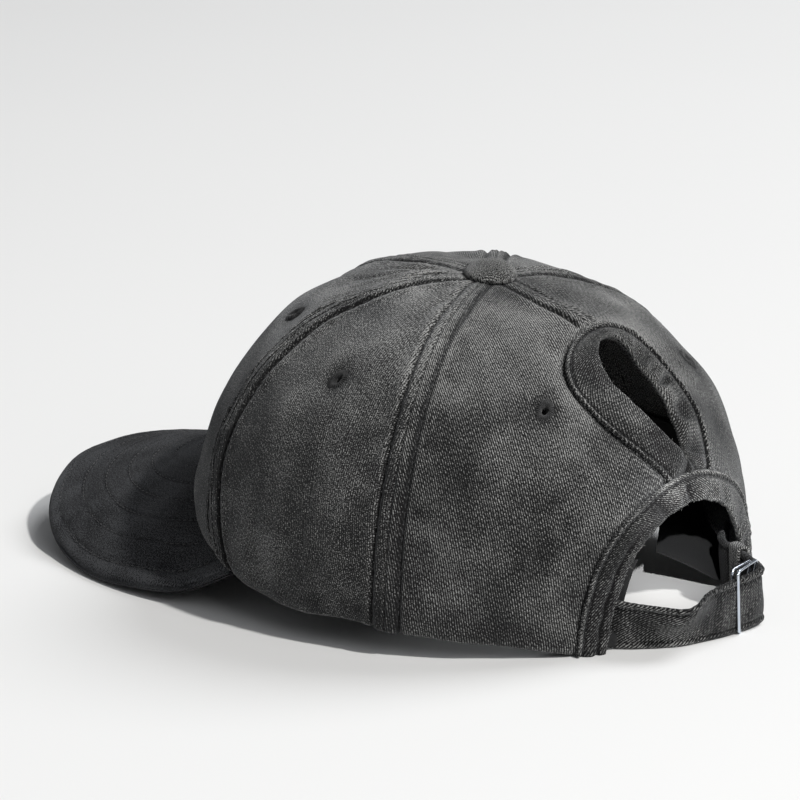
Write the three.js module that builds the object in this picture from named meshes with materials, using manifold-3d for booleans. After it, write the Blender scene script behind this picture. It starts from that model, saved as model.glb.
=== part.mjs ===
import * as THREE from "three";
import { mergeVertices } from "three/addons/utils/BufferGeometryUtils.js";
import Module from "manifold-3d";

const wasm = await Module();
wasm.setup();

// Ponytail baseball cap resting on its peak and strap. Millimetres, +Z up.
// The peak points to -Y and the wearer's left is +X. Angles run from the front round to the wearer's left.

// Crown outline at the rim
const CROWN_FRONT = 88.1;
const CROWN_BACK = 96.9;
const CROWN_HALF_WIDTH = 83.0;
const FRONT_SQUARENESS = 2.50;
const BACK_SQUARENESS = 1.90;
// Crown dome
const CROWN_HEIGHT = 98.8;
const FRONT_SHOULDER = 3.48;
const BACK_SHOULDER = 1.75;
const FRONT_RISE_POWER = 1.89;
const BACK_RISE_POWER = 3.16;
const FRONT_BULGE = 0.062;
const BACK_BULGE = 0.022;
const BACK_FLAT = 4.7;
const TOP_SHIFT_BACK = 3.3;
const RIM_SIDE_LIFT = 3.1;
const RIM_FRONT_LIFT = 9.9;
const RIM_FRONT_LIFT_ANGLE = 75;
const LEG_DROP = 2.0;
const RIM_SAG = 3.2;
const RIM_SAG_ANGLE = 85;
const LEAN_BACK = 5.3;
const TOP_HOLE_RADIUS = 3.5;
// Cloth
const PANEL_THICK = 1.8;
const GAP = 0.3;
const SEAM_BAND_HALF = 4.6;
const SEAM_BAND_HALF_TOP = 3.1;
const SEAM_RAISE = 0.8;
// Seams, degrees from the front
const SEAM_FRONT_RIM = 68.0;
const SEAM_FRONT = 59.5;
const SEAM_FRONT_TURN = 0.36;
const SEAM_BACK = 109.4;
// Peak
const PEAK_HALF_WIDTH = 82.0;
const PEAK_CENTRE_Y = -69.0;
const PEAK_DEPTH = 107.0;
const PEAK_SQUARENESS = 2.2;
const PEAK_BEND_RADIUS = 117.0;
const PEAK_ROOT_Z = 37.6;
const PEAK_SLOPE = 0.232;
const PEAK_CURL = -0.054;
const PEAK_ROOT_ANGLE = 67;
const PEAK_SIDE_DROOP = 3.0;
const PEAK_COVER = 1.0;
const PEAK_BOARD = 1.6;
// Fittings
const BUTTON_RADIUS = 8.6;
const BUTTON_HEIGHT = 5.2;
const EYELET_RADIUS = 4.0;
const EYELET_HOLE = 1.2;
const EYELETS = [
  { name: "front", angle: 38.0, up: 0.560 },
  { name: "side", angle: 86.6, up: 0.545 },
  { name: "back", angle: 143.2, up: 0.541 },
];
const SWEATBAND_HEIGHT = 30;
const SWEATBAND_THICK = 1.2;
const SWEATBAND_END = 53;
const SWEATBAND_OFF = 1.0;
const STRAP_WIDTH = 18.5;
const STRAP_THICK = 1.6;
const BUCKLE_WIRE = 1.5;
const BUCKLE_HEIGHT = 21.2;
// The box of the whole cap is centred on the origin
const ORIGIN_Y = 32.85;

// Half-moon opening of the back, in cloth millimetres: across from the back centre, towards the left, and up from the rim
const ARCH = [
  { outAcross: 47.9, outUp: 0.2, inAcross: 37.8, inUp: 0.2 },
  { outAcross: 47.3, outUp: 10, inAcross: 37.0, inUp: 10 },
  { outAcross: 45.3, outUp: 20, inAcross: 34.4, inUp: 19.6 },
  { outAcross: 41.5, outUp: 30, inAcross: 30.0, inUp: 28.6 },
  { outAcross: 35.5, outUp: 38, inAcross: 24.6, inUp: 34.5 },
  { outAcross: 27.6, outUp: 44.3, inAcross: 18.2, inUp: 38.4 },
  { outAcross: 18.0, outUp: 48.6, inAcross: 11.6, inUp: 40.9 },
  { outAcross: 8.0, outUp: 51.5, inAcross: 4.6, inUp: 42.3 },
  { outAcross: -1.5, outUp: 52.5, inAcross: -2.0, inUp: 42.9 },
  { outAcross: -11.0, outUp: 51.2, inAcross: -8.8, inUp: 41.6 },
  { outAcross: -20.5, outUp: 47.6, inAcross: -16.0, inUp: 38.6 },
  { outAcross: -29.5, outUp: 42.6, inAcross: -22.0, inUp: 34.5 },
  { outAcross: -37.5, outUp: 36.4, inAcross: -26.6, inUp: 28.8 },
  { outAcross: -43.8, outUp: 28.6, inAcross: -30.0, inUp: 21.4 },
  { outAcross: -47.9, outUp: 19.4, inAcross: -32.6, inUp: 14.0 },
  { outAcross: -49.6, outUp: 9.6, inAcross: -34.6, inUp: 7.0 },
  { outAcross: -49.8, outUp: 0.2, inAcross: -35.6, inUp: 0.2 },
];
// Teardrop opening above it, from its foot up the left, over the top and down the right
const SLOT = [
  { outAcross: 4.0, outUp: 47.5, inAcross: -3.3, inUp: 56.2 },
  { outAcross: 9.4, outUp: 55.4, inAcross: -2.2, inUp: 59.4 },
  { outAcross: 15.6, outUp: 63.6, inAcross: 0.9, inUp: 64.2 },
  { outAcross: 20.6, outUp: 71.2, inAcross: 4.4, inUp: 70.8 },
  { outAcross: 24.2, outUp: 79.2, inAcross: 7.2, inUp: 78.6 },
  { outAcross: 25.5, outUp: 87.2, inAcross: 9.4, inUp: 86.4 },
  { outAcross: 23.2, outUp: 94.6, inAcross: 9.3, inUp: 93.4 },
  { outAcross: 18.3, outUp: 101.2, inAcross: 6.8, inUp: 99.6 },
  { outAcross: 11.4, outUp: 106.6, inAcross: 2.6, inUp: 103.6 },
  { outAcross: 2.4, outUp: 110.2, inAcross: -1.6, inUp: 105.0 },
  { outAcross: -7.0, outUp: 109.4, inAcross: -5.6, inUp: 103.6 },
  { outAcross: -14.0, outUp: 104.6, inAcross: -7.4, inUp: 98.6 },
  { outAcross: -17.8, outUp: 97.2, inAcross: -6.8, inUp: 92.6 },
  { outAcross: -19.0, outUp: 88.4, inAcross: -6.6, inUp: 86.4 },
  { outAcross: -19.8, outUp: 79.6, inAcross: -5.8, inUp: 79.8 },
  { outAcross: -20.0, outUp: 71.4, inAcross: -4.5, inUp: 73.4 },
  { outAcross: -18.6, outUp: 63.4, inAcross: -3.4, inUp: 67.0 },
  { outAcross: -16.4, outUp: 55.4, inAcross: -3.0, inUp: 61.0 },
  { outAcross: -12.0, outUp: 47.5, inAcross: -3.4, inUp: 57.4 },
];
// Strap's middle line from inside the left leg to inside the right leg, and the height of its lower edge
const STRAP = [
  { x: 47.2, y: 71.2, low: 3.4 },
  { x: 43.9, y: 74.1, low: 2.8 },
  { x: 39.6, y: 77.4, low: 2.0 },
  { x: 34.2, y: 80.2, low: 0.9 },
  { x: 29.6, y: 84.9, low: 0.0 },
  { x: 23.0, y: 93.6, low: 0.0 },
  { x: 16.0, y: 99.2, low: 0.0 },
  { x: 8.0, y: 102.4, low: 0.0 },
  { x: 1.0, y: 104.6, low: 1.4 },
  { x: -5.2, y: 105.5, low: 2.0 },
  { x: -11.0, y: 107.8, low: 2.0 },
  { x: -16.7, y: 110.0, low: 2.0 },
  { x: -21.6, y: 108.0, low: 2.0 },
  { x: -23.8, y: 102.0, low: 2.0 },
  { x: -26.6, y: 94.0, low: 2.0 },
  { x: -28.8, y: 85.2, low: 2.2 },
  { x: -33.1, y: 80.5, low: 2.6 },
  { x: -38.4, y: 78.2, low: 3.0 },
  { x: -43.0, y: 75.4, low: 3.4 },
];

const rad = THREE.MathUtils.degToRad;
const sq = (v) => v * v;
const clamp01 = (v) => Math.min(1, Math.max(0, v));
const smooth = (v) => clamp01(v) ** 2 * (3 - 2 * clamp01(v));
const wrap = (a) => Math.atan2(Math.sin(a), Math.cos(a));
const powSign = (v, p) => Math.sign(v) * Math.abs(v) ** p;

function planAt(th) {
  const c = Math.cos(th);
  const s = Math.sin(th);
  const depth = c > 0 ? CROWN_FRONT : CROWN_BACK;
  const n = c > 0 ? FRONT_SQUARENESS : BACK_SQUARENESS;
  return [CROWN_HALF_WIDTH * powSign(s, 2 / n), -depth * powSign(c, 2 / n)];
}

function leanBack(x, y, z) {
  const t = rad(LEAN_BACK);
  return new THREE.Vector3(
    x,
    y * Math.cos(t) + z * Math.sin(t),
    -y * Math.sin(t) + z * Math.cos(t) + CROWN_BACK * Math.sin(t),
  );
}

function peakZ(x, y) {
  const f = -y - CROWN_FRONT;
  const ax = Math.min(Math.abs(x), 0.999 * PEAK_BEND_RADIUS);
  const drop = PEAK_BEND_RADIUS - Math.sqrt(sq(PEAK_BEND_RADIUS) - ax * ax);
  const side = PEAK_SIDE_DROOP * smooth((ax - 45) / 35) * smooth((y + 90) / 35);
  return PEAK_ROOT_Z - drop - PEAK_SLOPE * f - PEAK_CURL * f * f / 100 - side;
}

function rimZ(th) {
  const d = Math.abs(wrap(th));
  const k = clamp01(d / rad(RIM_FRONT_LIFT_ANGLE));
  const lift = RIM_FRONT_LIFT * 0.5 * (1 + Math.cos(Math.PI * k)) + RIM_SIDE_LIFT * sq(Math.sin(th));
  const sag = RIM_SAG * Math.exp(-sq((d - rad(RIM_SAG_ANGLE)) / rad(9)));
  return lift - sag - LEG_DROP * Math.exp(-sq((d - rad(152)) / rad(16)));
}

// Outer surface of the crown; s runs from 0 at the rim to 1 at the top
function dome(th, s) {
  const c = Math.cos(th);
  const w = 0.5 * (1 + c);
  const p = FRONT_SHOULDER * w + BACK_SHOULDER * (1 - w);
  const q = FRONT_RISE_POWER * w + BACK_RISE_POWER * (1 - w);
  const a = clamp01(s) * Math.PI / 2;
  const rho = Math.max(0, Math.cos(a)) ** (2 / p);
  const zt = clamp01(Math.sin(a)) ** (2 / q);
  const [x0, y0] = planAt(th);
  const bulge = 1 + (FRONT_BULGE * w + BACK_BULGE * (1 - w)) * Math.sin(Math.PI * zt ** 0.6);
  const flat = BACK_FLAT * Math.exp(-sq(wrap(th - Math.PI) / rad(32))) * Math.sin(Math.PI * zt);
  const v = leanBack(
    x0 * rho * bulge,
    y0 * rho * bulge - flat + TOP_SHIFT_BACK * (1 - rho),
    rimZ(th) * (1 - zt) + CROWN_HEIGHT * zt,
  );
  const k = smooth((rad(PEAK_ROOT_ANGLE + 9) - Math.abs(wrap(th))) / rad(13));
  const rim = leanBack(x0, y0, rimZ(th));
  const here = peakZ(rim.x, rim.y);
  const inside = peakZ(rim.x * 0.976, rim.y * 0.976);
  v.z += (Math.max(here, inside) + 0.6 - rim.z) * k * sq(1 - zt);
  return v;
}

// Arc length up each meridian, so that a height on the cloth is a share of its length
const STEPS = 160;
const meridians = new Map();
function meridian(th) {
  const key = wrap(th).toFixed(5);
  if (meridians.has(key)) return meridians.get(key);
  const top = dome(th, 1);
  const ss = [];
  const len = [];
  let last = null;
  let total = 0;
  let end = 0;
  let before = null;
  for (let i = 0; i <= STEPS; i++) {
    const s = 1 - (1 - i / STEPS) ** 3;
    const p = dome(th, s);
    const r = Math.hypot(p.x - top.x, p.y - top.y);
    if (last) total += p.distanceTo(last);
    ss.push(s);
    len.push(total);
    if (before !== null && before > TOP_HOLE_RADIUS && r <= TOP_HOLE_RADIUS && !end) {
      const f = (before - TOP_HOLE_RADIUS) / (before - r);
      end = len[i - 1] + f * (len[i] - len[i - 1]);
    }
    before = r;
    last = p;
  }
  const m = { ss, len, end };
  meridians.set(key, m);
  return m;
}

function interp(x, xs, ys) {
  let lo = 0;
  let hi = xs.length - 1;
  if (x <= xs[0]) return ys[0];
  if (x >= xs[hi]) return ys[hi];
  while (hi - lo > 1) {
    const mid = (lo + hi) >> 1;
    if (xs[mid] <= x) lo = mid; else hi = mid;
  }
  return ys[lo] + (ys[hi] - ys[lo]) * (x - xs[lo]) / (xs[hi] - xs[lo]);
}

function crown(th, t) {
  const m = meridian(th);
  return dome(th, interp(t * m.end, m.len, m.ss));
}

function crownNormal(th, t) {
  const e = 0.004;
  const t0 = Math.max(0, t - e);
  const t1 = Math.min(1, t + e);
  const a = crown(th + e, t).sub(crown(th - e, t));
  const b = crown(th, t1).sub(crown(th, t0));
  return a.cross(b).normalize();
}

// A point on the crown, moved off its outer surface along the normal
function onCrown(th, t, off) {
  return crown(th, t).addScaledVector(crownNormal(th, t), off);
}

// Cloth millimetres from the back centre, across and up, to angle and share of the height
const BACK_LENGTH = meridian(Math.PI).end;
function backAngle(across, t) {
  const n = 40;
  const side = Math.sign(across) || 1;
  let last = crown(Math.PI, t);
  let total = 0;
  for (let i = 1; i <= n; i++) {
    const th = Math.PI - side * i * 0.04;
    const p = crown(th, t);
    const step = p.distanceTo(last);
    if (total + step >= Math.abs(across)) {
      return Math.PI - side * 0.04 * (i - 1 + (Math.abs(across) - total) / step);
    }
    total += step;
    last = p;
  }
  return Math.PI - side * n * 0.04;
}

function onBack(across, up, off) {
  const t = Math.max(0, up / BACK_LENGTH);
  return onCrown(backAngle(across, t), t, off);
}

// Closed body from rings of points; each ring is a closed section, and the ends are filled or joined
function loft(rings, closed) {
  const n = rings[0].length;
  const pos = [];
  const idx = [];
  for (const ring of rings) for (const p of ring) pos.push(p.x, p.y, p.z);
  const m = rings.length;
  const last = closed ? m : m - 1;
  for (let i = 0; i < last; i++) {
    const a = i * n;
    const b = ((i + 1) % m) * n;
    for (let j = 0; j < n; j++) {
      const k = (j + 1) % n;
      idx.push(a + j, b + j, b + k, a + j, b + k, a + k);
    }
  }
  if (!closed) {
    for (const [start, flip] of [[0, false], [(m - 1) * n, true]]) {
      const ring = start ? rings[m - 1] : rings[0];
      for (const [a, b, c] of fillRing(ring)) {
        if (flip) idx.push(start + a, start + c, start + b);
        else idx.push(start + a, start + b, start + c);
      }
    }
  }
  return toSolid(pos, idx);
}

function fillRing(ring) {
  const centre = new THREE.Vector3();
  for (const p of ring) centre.add(p);
  centre.divideScalar(ring.length);
  const normal = new THREE.Vector3();
  for (let i = 0; i < ring.length; i++) {
    const a = ring[i].clone().sub(centre);
    normal.add(a.cross(ring[(i + 1) % ring.length].clone().sub(centre)));
  }
  normal.normalize();
  const u = ring[1].clone().sub(ring[0]);
  u.addScaledVector(normal, -u.dot(normal)).normalize();
  const v = normal.clone().cross(u);
  const flat = ring.map((p) => new THREE.Vector2(p.dot(u), p.dot(v)));
  return orderedFaces(flat);
}

// Triangles of a flat outline, each turning the way the outline does
function orderedFaces(flat) {
  const whole = Math.sign(THREE.ShapeUtils.area(flat));
  return THREE.ShapeUtils.triangulateShape(flat, []).map(([a, b, c]) => {
    const turn = Math.sign(THREE.ShapeUtils.area([flat[a], flat[b], flat[c]]));
    return turn === whole ? [a, b, c] : [a, c, b];
  });
}

function toSolid(pos, idx) {
  const solid = new wasm.Manifold(new wasm.Mesh({
    numProp: 3,
    vertProperties: new Float32Array(pos),
    triVerts: new Uint32Array(idx),
  }));
  if (solid.volume() > 0) return solid;
  const back = [];
  for (let i = 0; i < idx.length; i += 3) back.push(idx[i], idx[i + 2], idx[i + 1]);
  return new wasm.Manifold(new wasm.Mesh({
    numProp: 3,
    vertProperties: new Float32Array(pos),
    triVerts: new Uint32Array(back),
  }));
}

function fromGeometry(geometry) {
  const g = geometry.clone();
  g.deleteAttribute("normal");
  g.deleteAttribute("uv");
  const m = mergeVertices(g, 1e-4);
  return toSolid(Array.from(m.attributes.position.array), Array.from(m.index.array));
}

// Closed sheet between an outer and an inner grid of points
function sheet(outer, inner) {
  const rows = outer.length;
  const cols = outer[0].length;
  const pos = [];
  const idx = [];
  for (const grid of [outer, inner]) for (const row of grid) for (const p of row) pos.push(p.x, p.y, p.z);
  const o = (i, j) => i * cols + j;
  const n = (i, j) => rows * cols + i * cols + j;
  for (let i = 0; i < rows - 1; i++) {
    for (let j = 0; j < cols - 1; j++) {
      idx.push(o(i, j), o(i, j + 1), o(i + 1, j + 1), o(i, j), o(i + 1, j + 1), o(i + 1, j));
      idx.push(n(i, j), n(i + 1, j + 1), n(i, j + 1), n(i, j), n(i + 1, j), n(i + 1, j + 1));
    }
  }
  for (let j = 0; j < cols - 1; j++) {
    idx.push(o(0, j), n(0, j), n(0, j + 1), o(0, j), n(0, j + 1), o(0, j + 1));
    const r = rows - 1;
    idx.push(o(r, j), n(r, j + 1), n(r, j), o(r, j), o(r, j + 1), n(r, j + 1));
  }
  for (let i = 0; i < rows - 1; i++) {
    const c = cols - 1;
    idx.push(o(i, 0), n(i + 1, 0), n(i, 0), o(i, 0), o(i + 1, 0), n(i + 1, 0));
    idx.push(o(i, c), n(i, c), n(i + 1, c), o(i, c), n(i + 1, c), o(i + 1, c));
  }
  return toSolid(pos, idx);
}

function seamFront(t) {
  const k = clamp01(1 - t / SEAM_FRONT_TURN);
  return rad(SEAM_FRONT + (SEAM_FRONT_RIM - SEAM_FRONT) * k ** 1.5);
}

// Seam angles that bound each gore, as functions of the height
const GORES = [
  { name: "front", from: () => 0, to: seamFront },
  { name: "side", from: seamFront, to: () => rad(SEAM_BACK) },
  { name: "back", from: () => rad(SEAM_BACK), to: () => Math.PI },
];

function gore({ from, to }, side) {
  const rows = 16;
  const middle = 6;
  const outer = [];
  const inner = [];
  for (let i = 0; i <= rows; i++) {
    const t = i / rows;
    const a = from(t);
    const b = to(t);
    const shares = [];
    const lengths = [];
    let width = 0;
    let last = null;
    for (let k = 0; k <= 32; k++) {
      const share = 0.5 - 0.5 * Math.cos(k / 32 * Math.PI);
      const p = crown(a + (b - a) * share, t);
      if (last) width += p.distanceTo(last);
      shares.push(share);
      lengths.push(width);
      last = p;
    }
    const band = Math.min(SEAM_BAND_HALF + (SEAM_BAND_HALF_TOP - SEAM_BAND_HALF) * t, width * 0.28);
    const edge = Math.min(GAP / 2, width * 0.05);
    const stops = [
      { d: edge, raise: SEAM_RAISE * 0.35 },
      { d: edge + 0.18 * band, raise: SEAM_RAISE },
      { d: band * 0.9, raise: SEAM_RAISE },
      { d: band * 1.15, raise: 0 },
    ];
    const cols = stops.map((s) => ({ d: s.d, raise: s.raise }));
    const start = band * 1.15;
    for (let k = 1; k < middle; k++) cols.push({ d: start + (width - 2 * start) * k / middle, raise: 0 });
    for (const s of [...stops].reverse()) cols.push({ d: width - s.d, raise: s.raise });
    const o = [];
    const n = [];
    for (const c of cols) {
      const th = side * (a + (b - a) * interp(c.d, lengths, shares));
      const ease = 1 - 0.5 * smooth((t - 0.9) / 0.1);
      o.push(onCrown(th, t, c.raise * ease));
      n.push(onCrown(th, t, -PANEL_THICK));
    }
    outer.push(side > 0 ? o : o.reverse());
    inner.push(side > 0 ? n : n.reverse());
  }
  return sheet(outer, inner);
}

function spline2(table, keyX, keyY, closed, count) {
  const pts = table.map((r) => new THREE.Vector3(r[keyX], r[keyY], 0));
  const curve = new THREE.CatmullRomCurve3(pts, closed, "centripetal");
  const out = [];
  const n = closed ? count : count - 1;
  for (let i = 0; i < count; i++) out.push(curve.getPoint(i / n));
  return out;
}

// Tool that cuts through the cloth along an outline given on the back
function backCutter(points, grow, above, below) {
  const n = points.length;
  let area = 0;
  for (let i = 0; i < n; i++) {
    const a = points[i];
    const b = points[(i + 1) % n];
    area += a.x * b.y - b.x * a.y;
  }
  const turn = area > 0 ? 1 : -1;
  const ring = points.map((p, i) => {
    const a = points[(i + n - 1) % n];
    const b = points[(i + 1) % n];
    const d = new THREE.Vector2(b.x - a.x, b.y - a.y).normalize();
    return new THREE.Vector2(p.x + turn * d.y * grow, p.y - turn * d.x * grow);
  });
  const hi = ring.map((p) => onBackFree(p.x, p.y, above));
  const lo = ring.map((p) => onBackFree(p.x, p.y, -below));
  const faces = orderedFaces(ring);
  const pos = [];
  const idx = [];
  for (const p of [...hi, ...lo]) pos.push(p.x, p.y, p.z);
  for (const [a, b, c] of faces) {
    idx.push(a, b, c);
    idx.push(n + a, n + c, n + b);
  }
  for (let i = 0; i < n; i++) {
    const k = (i + 1) % n;
    idx.push(i, n + k, k, i, n + i, n + k);
  }
  return toSolid(pos, idx);
}

// Below the rim the surface goes straight down
function onBackFree(across, up, off) {
  if (up >= 0) return onBack(across, up, off);
  const p = onBack(across, 0, off);
  p.z += up;
  return p;
}

const archOut = spline2(ARCH, "outAcross", "outUp", false, 41);
const archIn = spline2(ARCH, "inAcross", "inUp", false, 41);
const slotOut = spline2(SLOT, "outAcross", "outUp", true, 32);
const slotIn = spline2(SLOT, "inAcross", "inUp", true, 32);

// Folded binding between an outer and an inner line, with a corded outer edge
const BINDING = [
  { share: 0.0, off: -1.7 },
  { share: 0.0, off: 1.3 },
  { share: 0.12, off: 2.1 },
  { share: 0.27, off: 1.0 },
  { share: 0.9, off: 0.9 },
  { share: 1.0, off: 0.1 },
  { share: 1.0, off: -1.7 },
];

function binding(outLine, inLine, closed) {
  const rings = outLine.map((o, i) => {
    const n = inLine[i];
    return BINDING.map(({ share, off }) => {
      const across = o.x + (n.x - o.x) * share;
      const up = Math.max(0.02, o.y + (n.y - o.y) * share);
      return onBack(across, up, off);
    });
  });
  return loft(rings, closed);
}

function archOutline() {
  const foot = [
    new THREE.Vector3(archOut[40].x, -8, 0),
    new THREE.Vector3(archOut[0].x, -8, 0),
  ];
  return [...archOut, ...foot];
}

const archCut = backCutter(archOutline(), GAP, 24, 9);
const slotCut = backCutter(slotOut, GAP, 20, 9);

function peakOutline(count) {
  const pts = [];
  const root = dome(rad(PEAK_ROOT_ANGLE), 0);
  for (let i = 0; i < 12; i++) {
    const k = i / 12;
    const x = root.x + (PEAK_HALF_WIDTH - root.x) * Math.sin(k * Math.PI / 2);
    pts.push(new THREE.Vector3(x, root.y + (PEAK_CENTRE_Y - root.y) * k, 0));
  }
  for (let i = 0; i <= 160; i++) {
    const f = Math.PI / 2 - i / 160 * Math.PI;
    const x = PEAK_HALF_WIDTH * powSign(Math.sin(f), 2 / PEAK_SQUARENESS);
    const y = PEAK_CENTRE_Y - PEAK_DEPTH * Math.abs(Math.cos(f)) ** (2 / PEAK_SQUARENESS);
    pts.push(new THREE.Vector3(x, y, 0));
  }
  for (let i = 11; i >= 0; i--) pts.push(new THREE.Vector3(-pts[i].x, pts[i].y, 0));
  const len = [0];
  for (let i = 1; i < pts.length; i++) len.push(len[i - 1] + pts[i].distanceTo(pts[i - 1]));
  const xs = pts.map((p) => p.x);
  const ys = pts.map((p) => p.y);
  const out = [];
  for (let i = 0; i < count; i++) {
    const d = len[len.length - 1] * i / (count - 1);
    out.push([interp(d, len, xs), interp(d, len, ys)]);
  }
  return out;
}

function peakPoint(x, y, off) {
  const e = 0.5;
  const zx = (peakZ(x + e, y) - peakZ(x - e, y)) / (2 * e);
  const zy = (peakZ(x, y + e) - peakZ(x, y - e)) / (2 * e);
  const n = new THREE.Vector3(-zx, -zy, 1).normalize();
  return new THREE.Vector3(x, y, peakZ(x, y)).addScaledVector(n, off);
}

const PEAK_COLS = 36;
const PEAK_ROWS = 5;
const peakEdge = peakOutline(PEAK_COLS + 1);

// Edge direction, pointing away from the cap in plan
function peakOutward(i) {
  const a = peakEdge[Math.max(0, i - 1)];
  const b = peakEdge[Math.min(PEAK_COLS, i + 1)];
  const d = new THREE.Vector2(b[0] - a[0], b[1] - a[1]).normalize();
  return [-d.y, d.x];
}

function peakGrid(off, rootIn, inset, fold) {
  const rows = [];
  for (let j = 0; j <= PEAK_ROWS; j++) {
    const row = [];
    const v = j / PEAK_ROWS;
    for (let i = 0; i <= PEAK_COLS; i++) {
      const u = 1 - 2 * i / PEAK_COLS;
      const th = u * rad(PEAK_ROOT_ANGLE - 4);
      const r = dome(th, 0);
      const n = crownNormal(th, 0.01);
      const inner = [r.x - n.x * rootIn, r.y - n.y * rootIn];
      const [ox, oy] = peakOutward(i);
      const outer = [peakEdge[i][0] - ox * inset, peakEdge[i][1] - oy * inset];
      const x = inner[0] * (1 - v) + outer[0] * v;
      const y = inner[1] * (1 - v) + outer[1] * v;
      row.push(peakPoint(x, y, off));
    }
    rows.push(row);
  }
  if (fold) {
    const row = [];
    for (let i = 0; i <= PEAK_COLS; i++) {
      const [ox, oy] = peakOutward(i);
      row.push(peakPoint(peakEdge[i][0] + ox * fold.out, peakEdge[i][1] + oy * fold.out, fold.off));
    }
    rows.push(row);
  }
  return rows;
}

function button() {
  const around = 22;
  const rings = 4;
  const top = dome(0, 1);
  const pos = [];
  const idx = [];
  const low = [];
  const high = [];
  for (let k = 0; k <= rings; k++) {
    const r = 0.4 + (BUTTON_RADIUS - 0.4) * k / rings;
    for (let i = 0; i < around; i++) {
      const th = i / around * 2 * Math.PI;
      const x = top.x + r * Math.sin(th);
      const y = top.y - r * Math.cos(th);
      const base = crownTopZ(th, r) + SEAM_RAISE + 0.25;
      low.push(new THREE.Vector3(x, y, base));
      const f = r / BUTTON_RADIUS;
      high.push(new THREE.Vector3(x, y, base * f * f + (1 - f * f) * (top.z + 1.2)
        + BUTTON_HEIGHT * Math.sqrt(1 - 0.93 * f * f) * (1 - 0.12 * f)));
    }
  }
  for (const p of [...high, ...low]) pos.push(p.x, p.y, p.z);
  const n = high.length;
  const at = (k, i) => k * around + (i % around);
  for (let k = 0; k < rings; k++) {
    for (let i = 0; i < around; i++) {
      idx.push(at(k, i), at(k + 1, i), at(k + 1, i + 1), at(k, i), at(k + 1, i + 1), at(k, i + 1));
      idx.push(n + at(k, i), n + at(k + 1, i + 1), n + at(k + 1, i));
      idx.push(n + at(k, i), n + at(k, i + 1), n + at(k + 1, i + 1));
    }
  }
  for (let i = 0; i < around; i++) {
    idx.push(at(rings, i), n + at(rings, i), n + at(rings, i + 1));
    idx.push(at(rings, i), n + at(rings, i + 1), at(rings, i + 1));
  }
  for (let i = 1; i < around - 1; i++) {
    idx.push(at(0, 0), at(0, i), at(0, i + 1));
    idx.push(n + at(0, 0), n + at(0, i + 1), n + at(0, i));
  }
  return toSolid(pos, idx);
}

function crownTopZ(th, r) {
  const top = dome(th, 1);
  let lo = 0.6;
  let hi = 1;
  for (let i = 0; i < 30; i++) {
    const mid = (lo + hi) / 2;
    const p = dome(th, mid);
    if (Math.hypot(p.x - top.x, p.y - top.y) > r) lo = mid; else hi = mid;
  }
  return dome(th, (lo + hi) / 2).z;
}

function eyelet(th, t) {
  const profile = [
    [EYELET_HOLE, -2.1],
    [EYELET_RADIUS, -2.1],
    [EYELET_RADIUS, 0.3],
    [EYELET_RADIUS - 0.5, 0.9],
    [EYELET_RADIUS - 1.6, 1.0],
    [EYELET_HOLE, 0.2],
    [EYELET_HOLE, -2.1],
  ].map(([x, y]) => new THREE.Vector2(x, y));
  const g = new THREE.LatheGeometry(profile, 12);
  g.rotateX(Math.PI / 2);
  return placed(fromGeometry(g), th, t);
}

function placed(solid, th, t) {
  const n = crownNormal(th, t);
  const q = new THREE.Quaternion().setFromUnitVectors(new THREE.Vector3(0, 0, 1), n);
  const p = crown(th, t);
  const m = new THREE.Matrix4().compose(p, q, new THREE.Vector3(1, 1, 1));
  return solid.transform(m.elements);
}

function eyeletHole(th, t) {
  const g = new THREE.CylinderGeometry(EYELET_RADIUS + GAP, EYELET_RADIUS + GAP, 12, 12);
  g.rotateX(Math.PI / 2);
  return placed(fromGeometry(g), th, t);
}

function sweatband() {
  const cols = 44;
  const outer = [];
  const inner = [];
  const first = backAngle(SWEATBAND_END, 0.05);
  for (let j = 0; j <= 2; j++) {
    const o = [];
    const n = [];
    for (let i = 0; i <= cols; i++) {
      const th = -first + 2 * first * i / cols;
      const t = (0.8 + SWEATBAND_HEIGHT * j / 2) / meridian(th).end;
      o.push(onCrown(th, t, -(PANEL_THICK + SWEATBAND_OFF)));
      n.push(onCrown(th, t, -(PANEL_THICK + SWEATBAND_OFF + SWEATBAND_THICK)));
    }
    outer.push(o);
    inner.push(n);
  }
  return sheet(outer, inner);
}

// Narrow strip on the inside of the left leg of the half-moon, standing a little proud of the binding's edge
function legTape() {
  const outer = [];
  const inner = [];
  const rows = 8;
  for (let j = 0; j <= rows; j++) {
    const p = archIn[j];
    const o = [];
    const n = [];
    for (const d of [-4.2, -1, 3.0]) {
      o.push(onBack(p.x + d, Math.max(0.3, p.y), -2.05));
      n.push(onBack(p.x + d, Math.max(0.3, p.y), -2.6));
    }
    outer.push(o);
    inner.push(n);
  }
  return sheet(outer, inner);
}

function strapLine(count) {
  const pts = STRAP.map((p) => new THREE.Vector3(p.x, p.y, 0));
  const curve = new THREE.CatmullRomCurve3(pts, false, "centripetal");
  const lows = STRAP.map((p) => p.low);
  const stops = lows.map((p, i) => i);
  return Array.from({ length: count }, (v, i) => {
    const f = i / (count - 1);
    const p = curve.getPoint(f);
    p.z = interp(f * (STRAP.length - 1), stops, lows);
    return p;
  });
}

// Level band standing on edge along a line; each point's z is the height of the lower edge
function bandAlong(line, width, thick) {
  const rings = line.map((p, i) => {
    const a = line[Math.max(0, i - 1)];
    const b = line[Math.min(line.length - 1, i + 1)];
    const d = new THREE.Vector2(b.x - a.x, b.y - a.y).normalize();
    const nx = d.y * thick / 2;
    const ny = -d.x * thick / 2;
    return [
      new THREE.Vector3(p.x - nx, p.y - ny, p.z),
      new THREE.Vector3(p.x + nx, p.y + ny, p.z),
      new THREE.Vector3(p.x + nx, p.y + ny, p.z + width),
      new THREE.Vector3(p.x - nx, p.y - ny, p.z + width),
    ];
  });
  return loft(rings, false);
}

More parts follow.
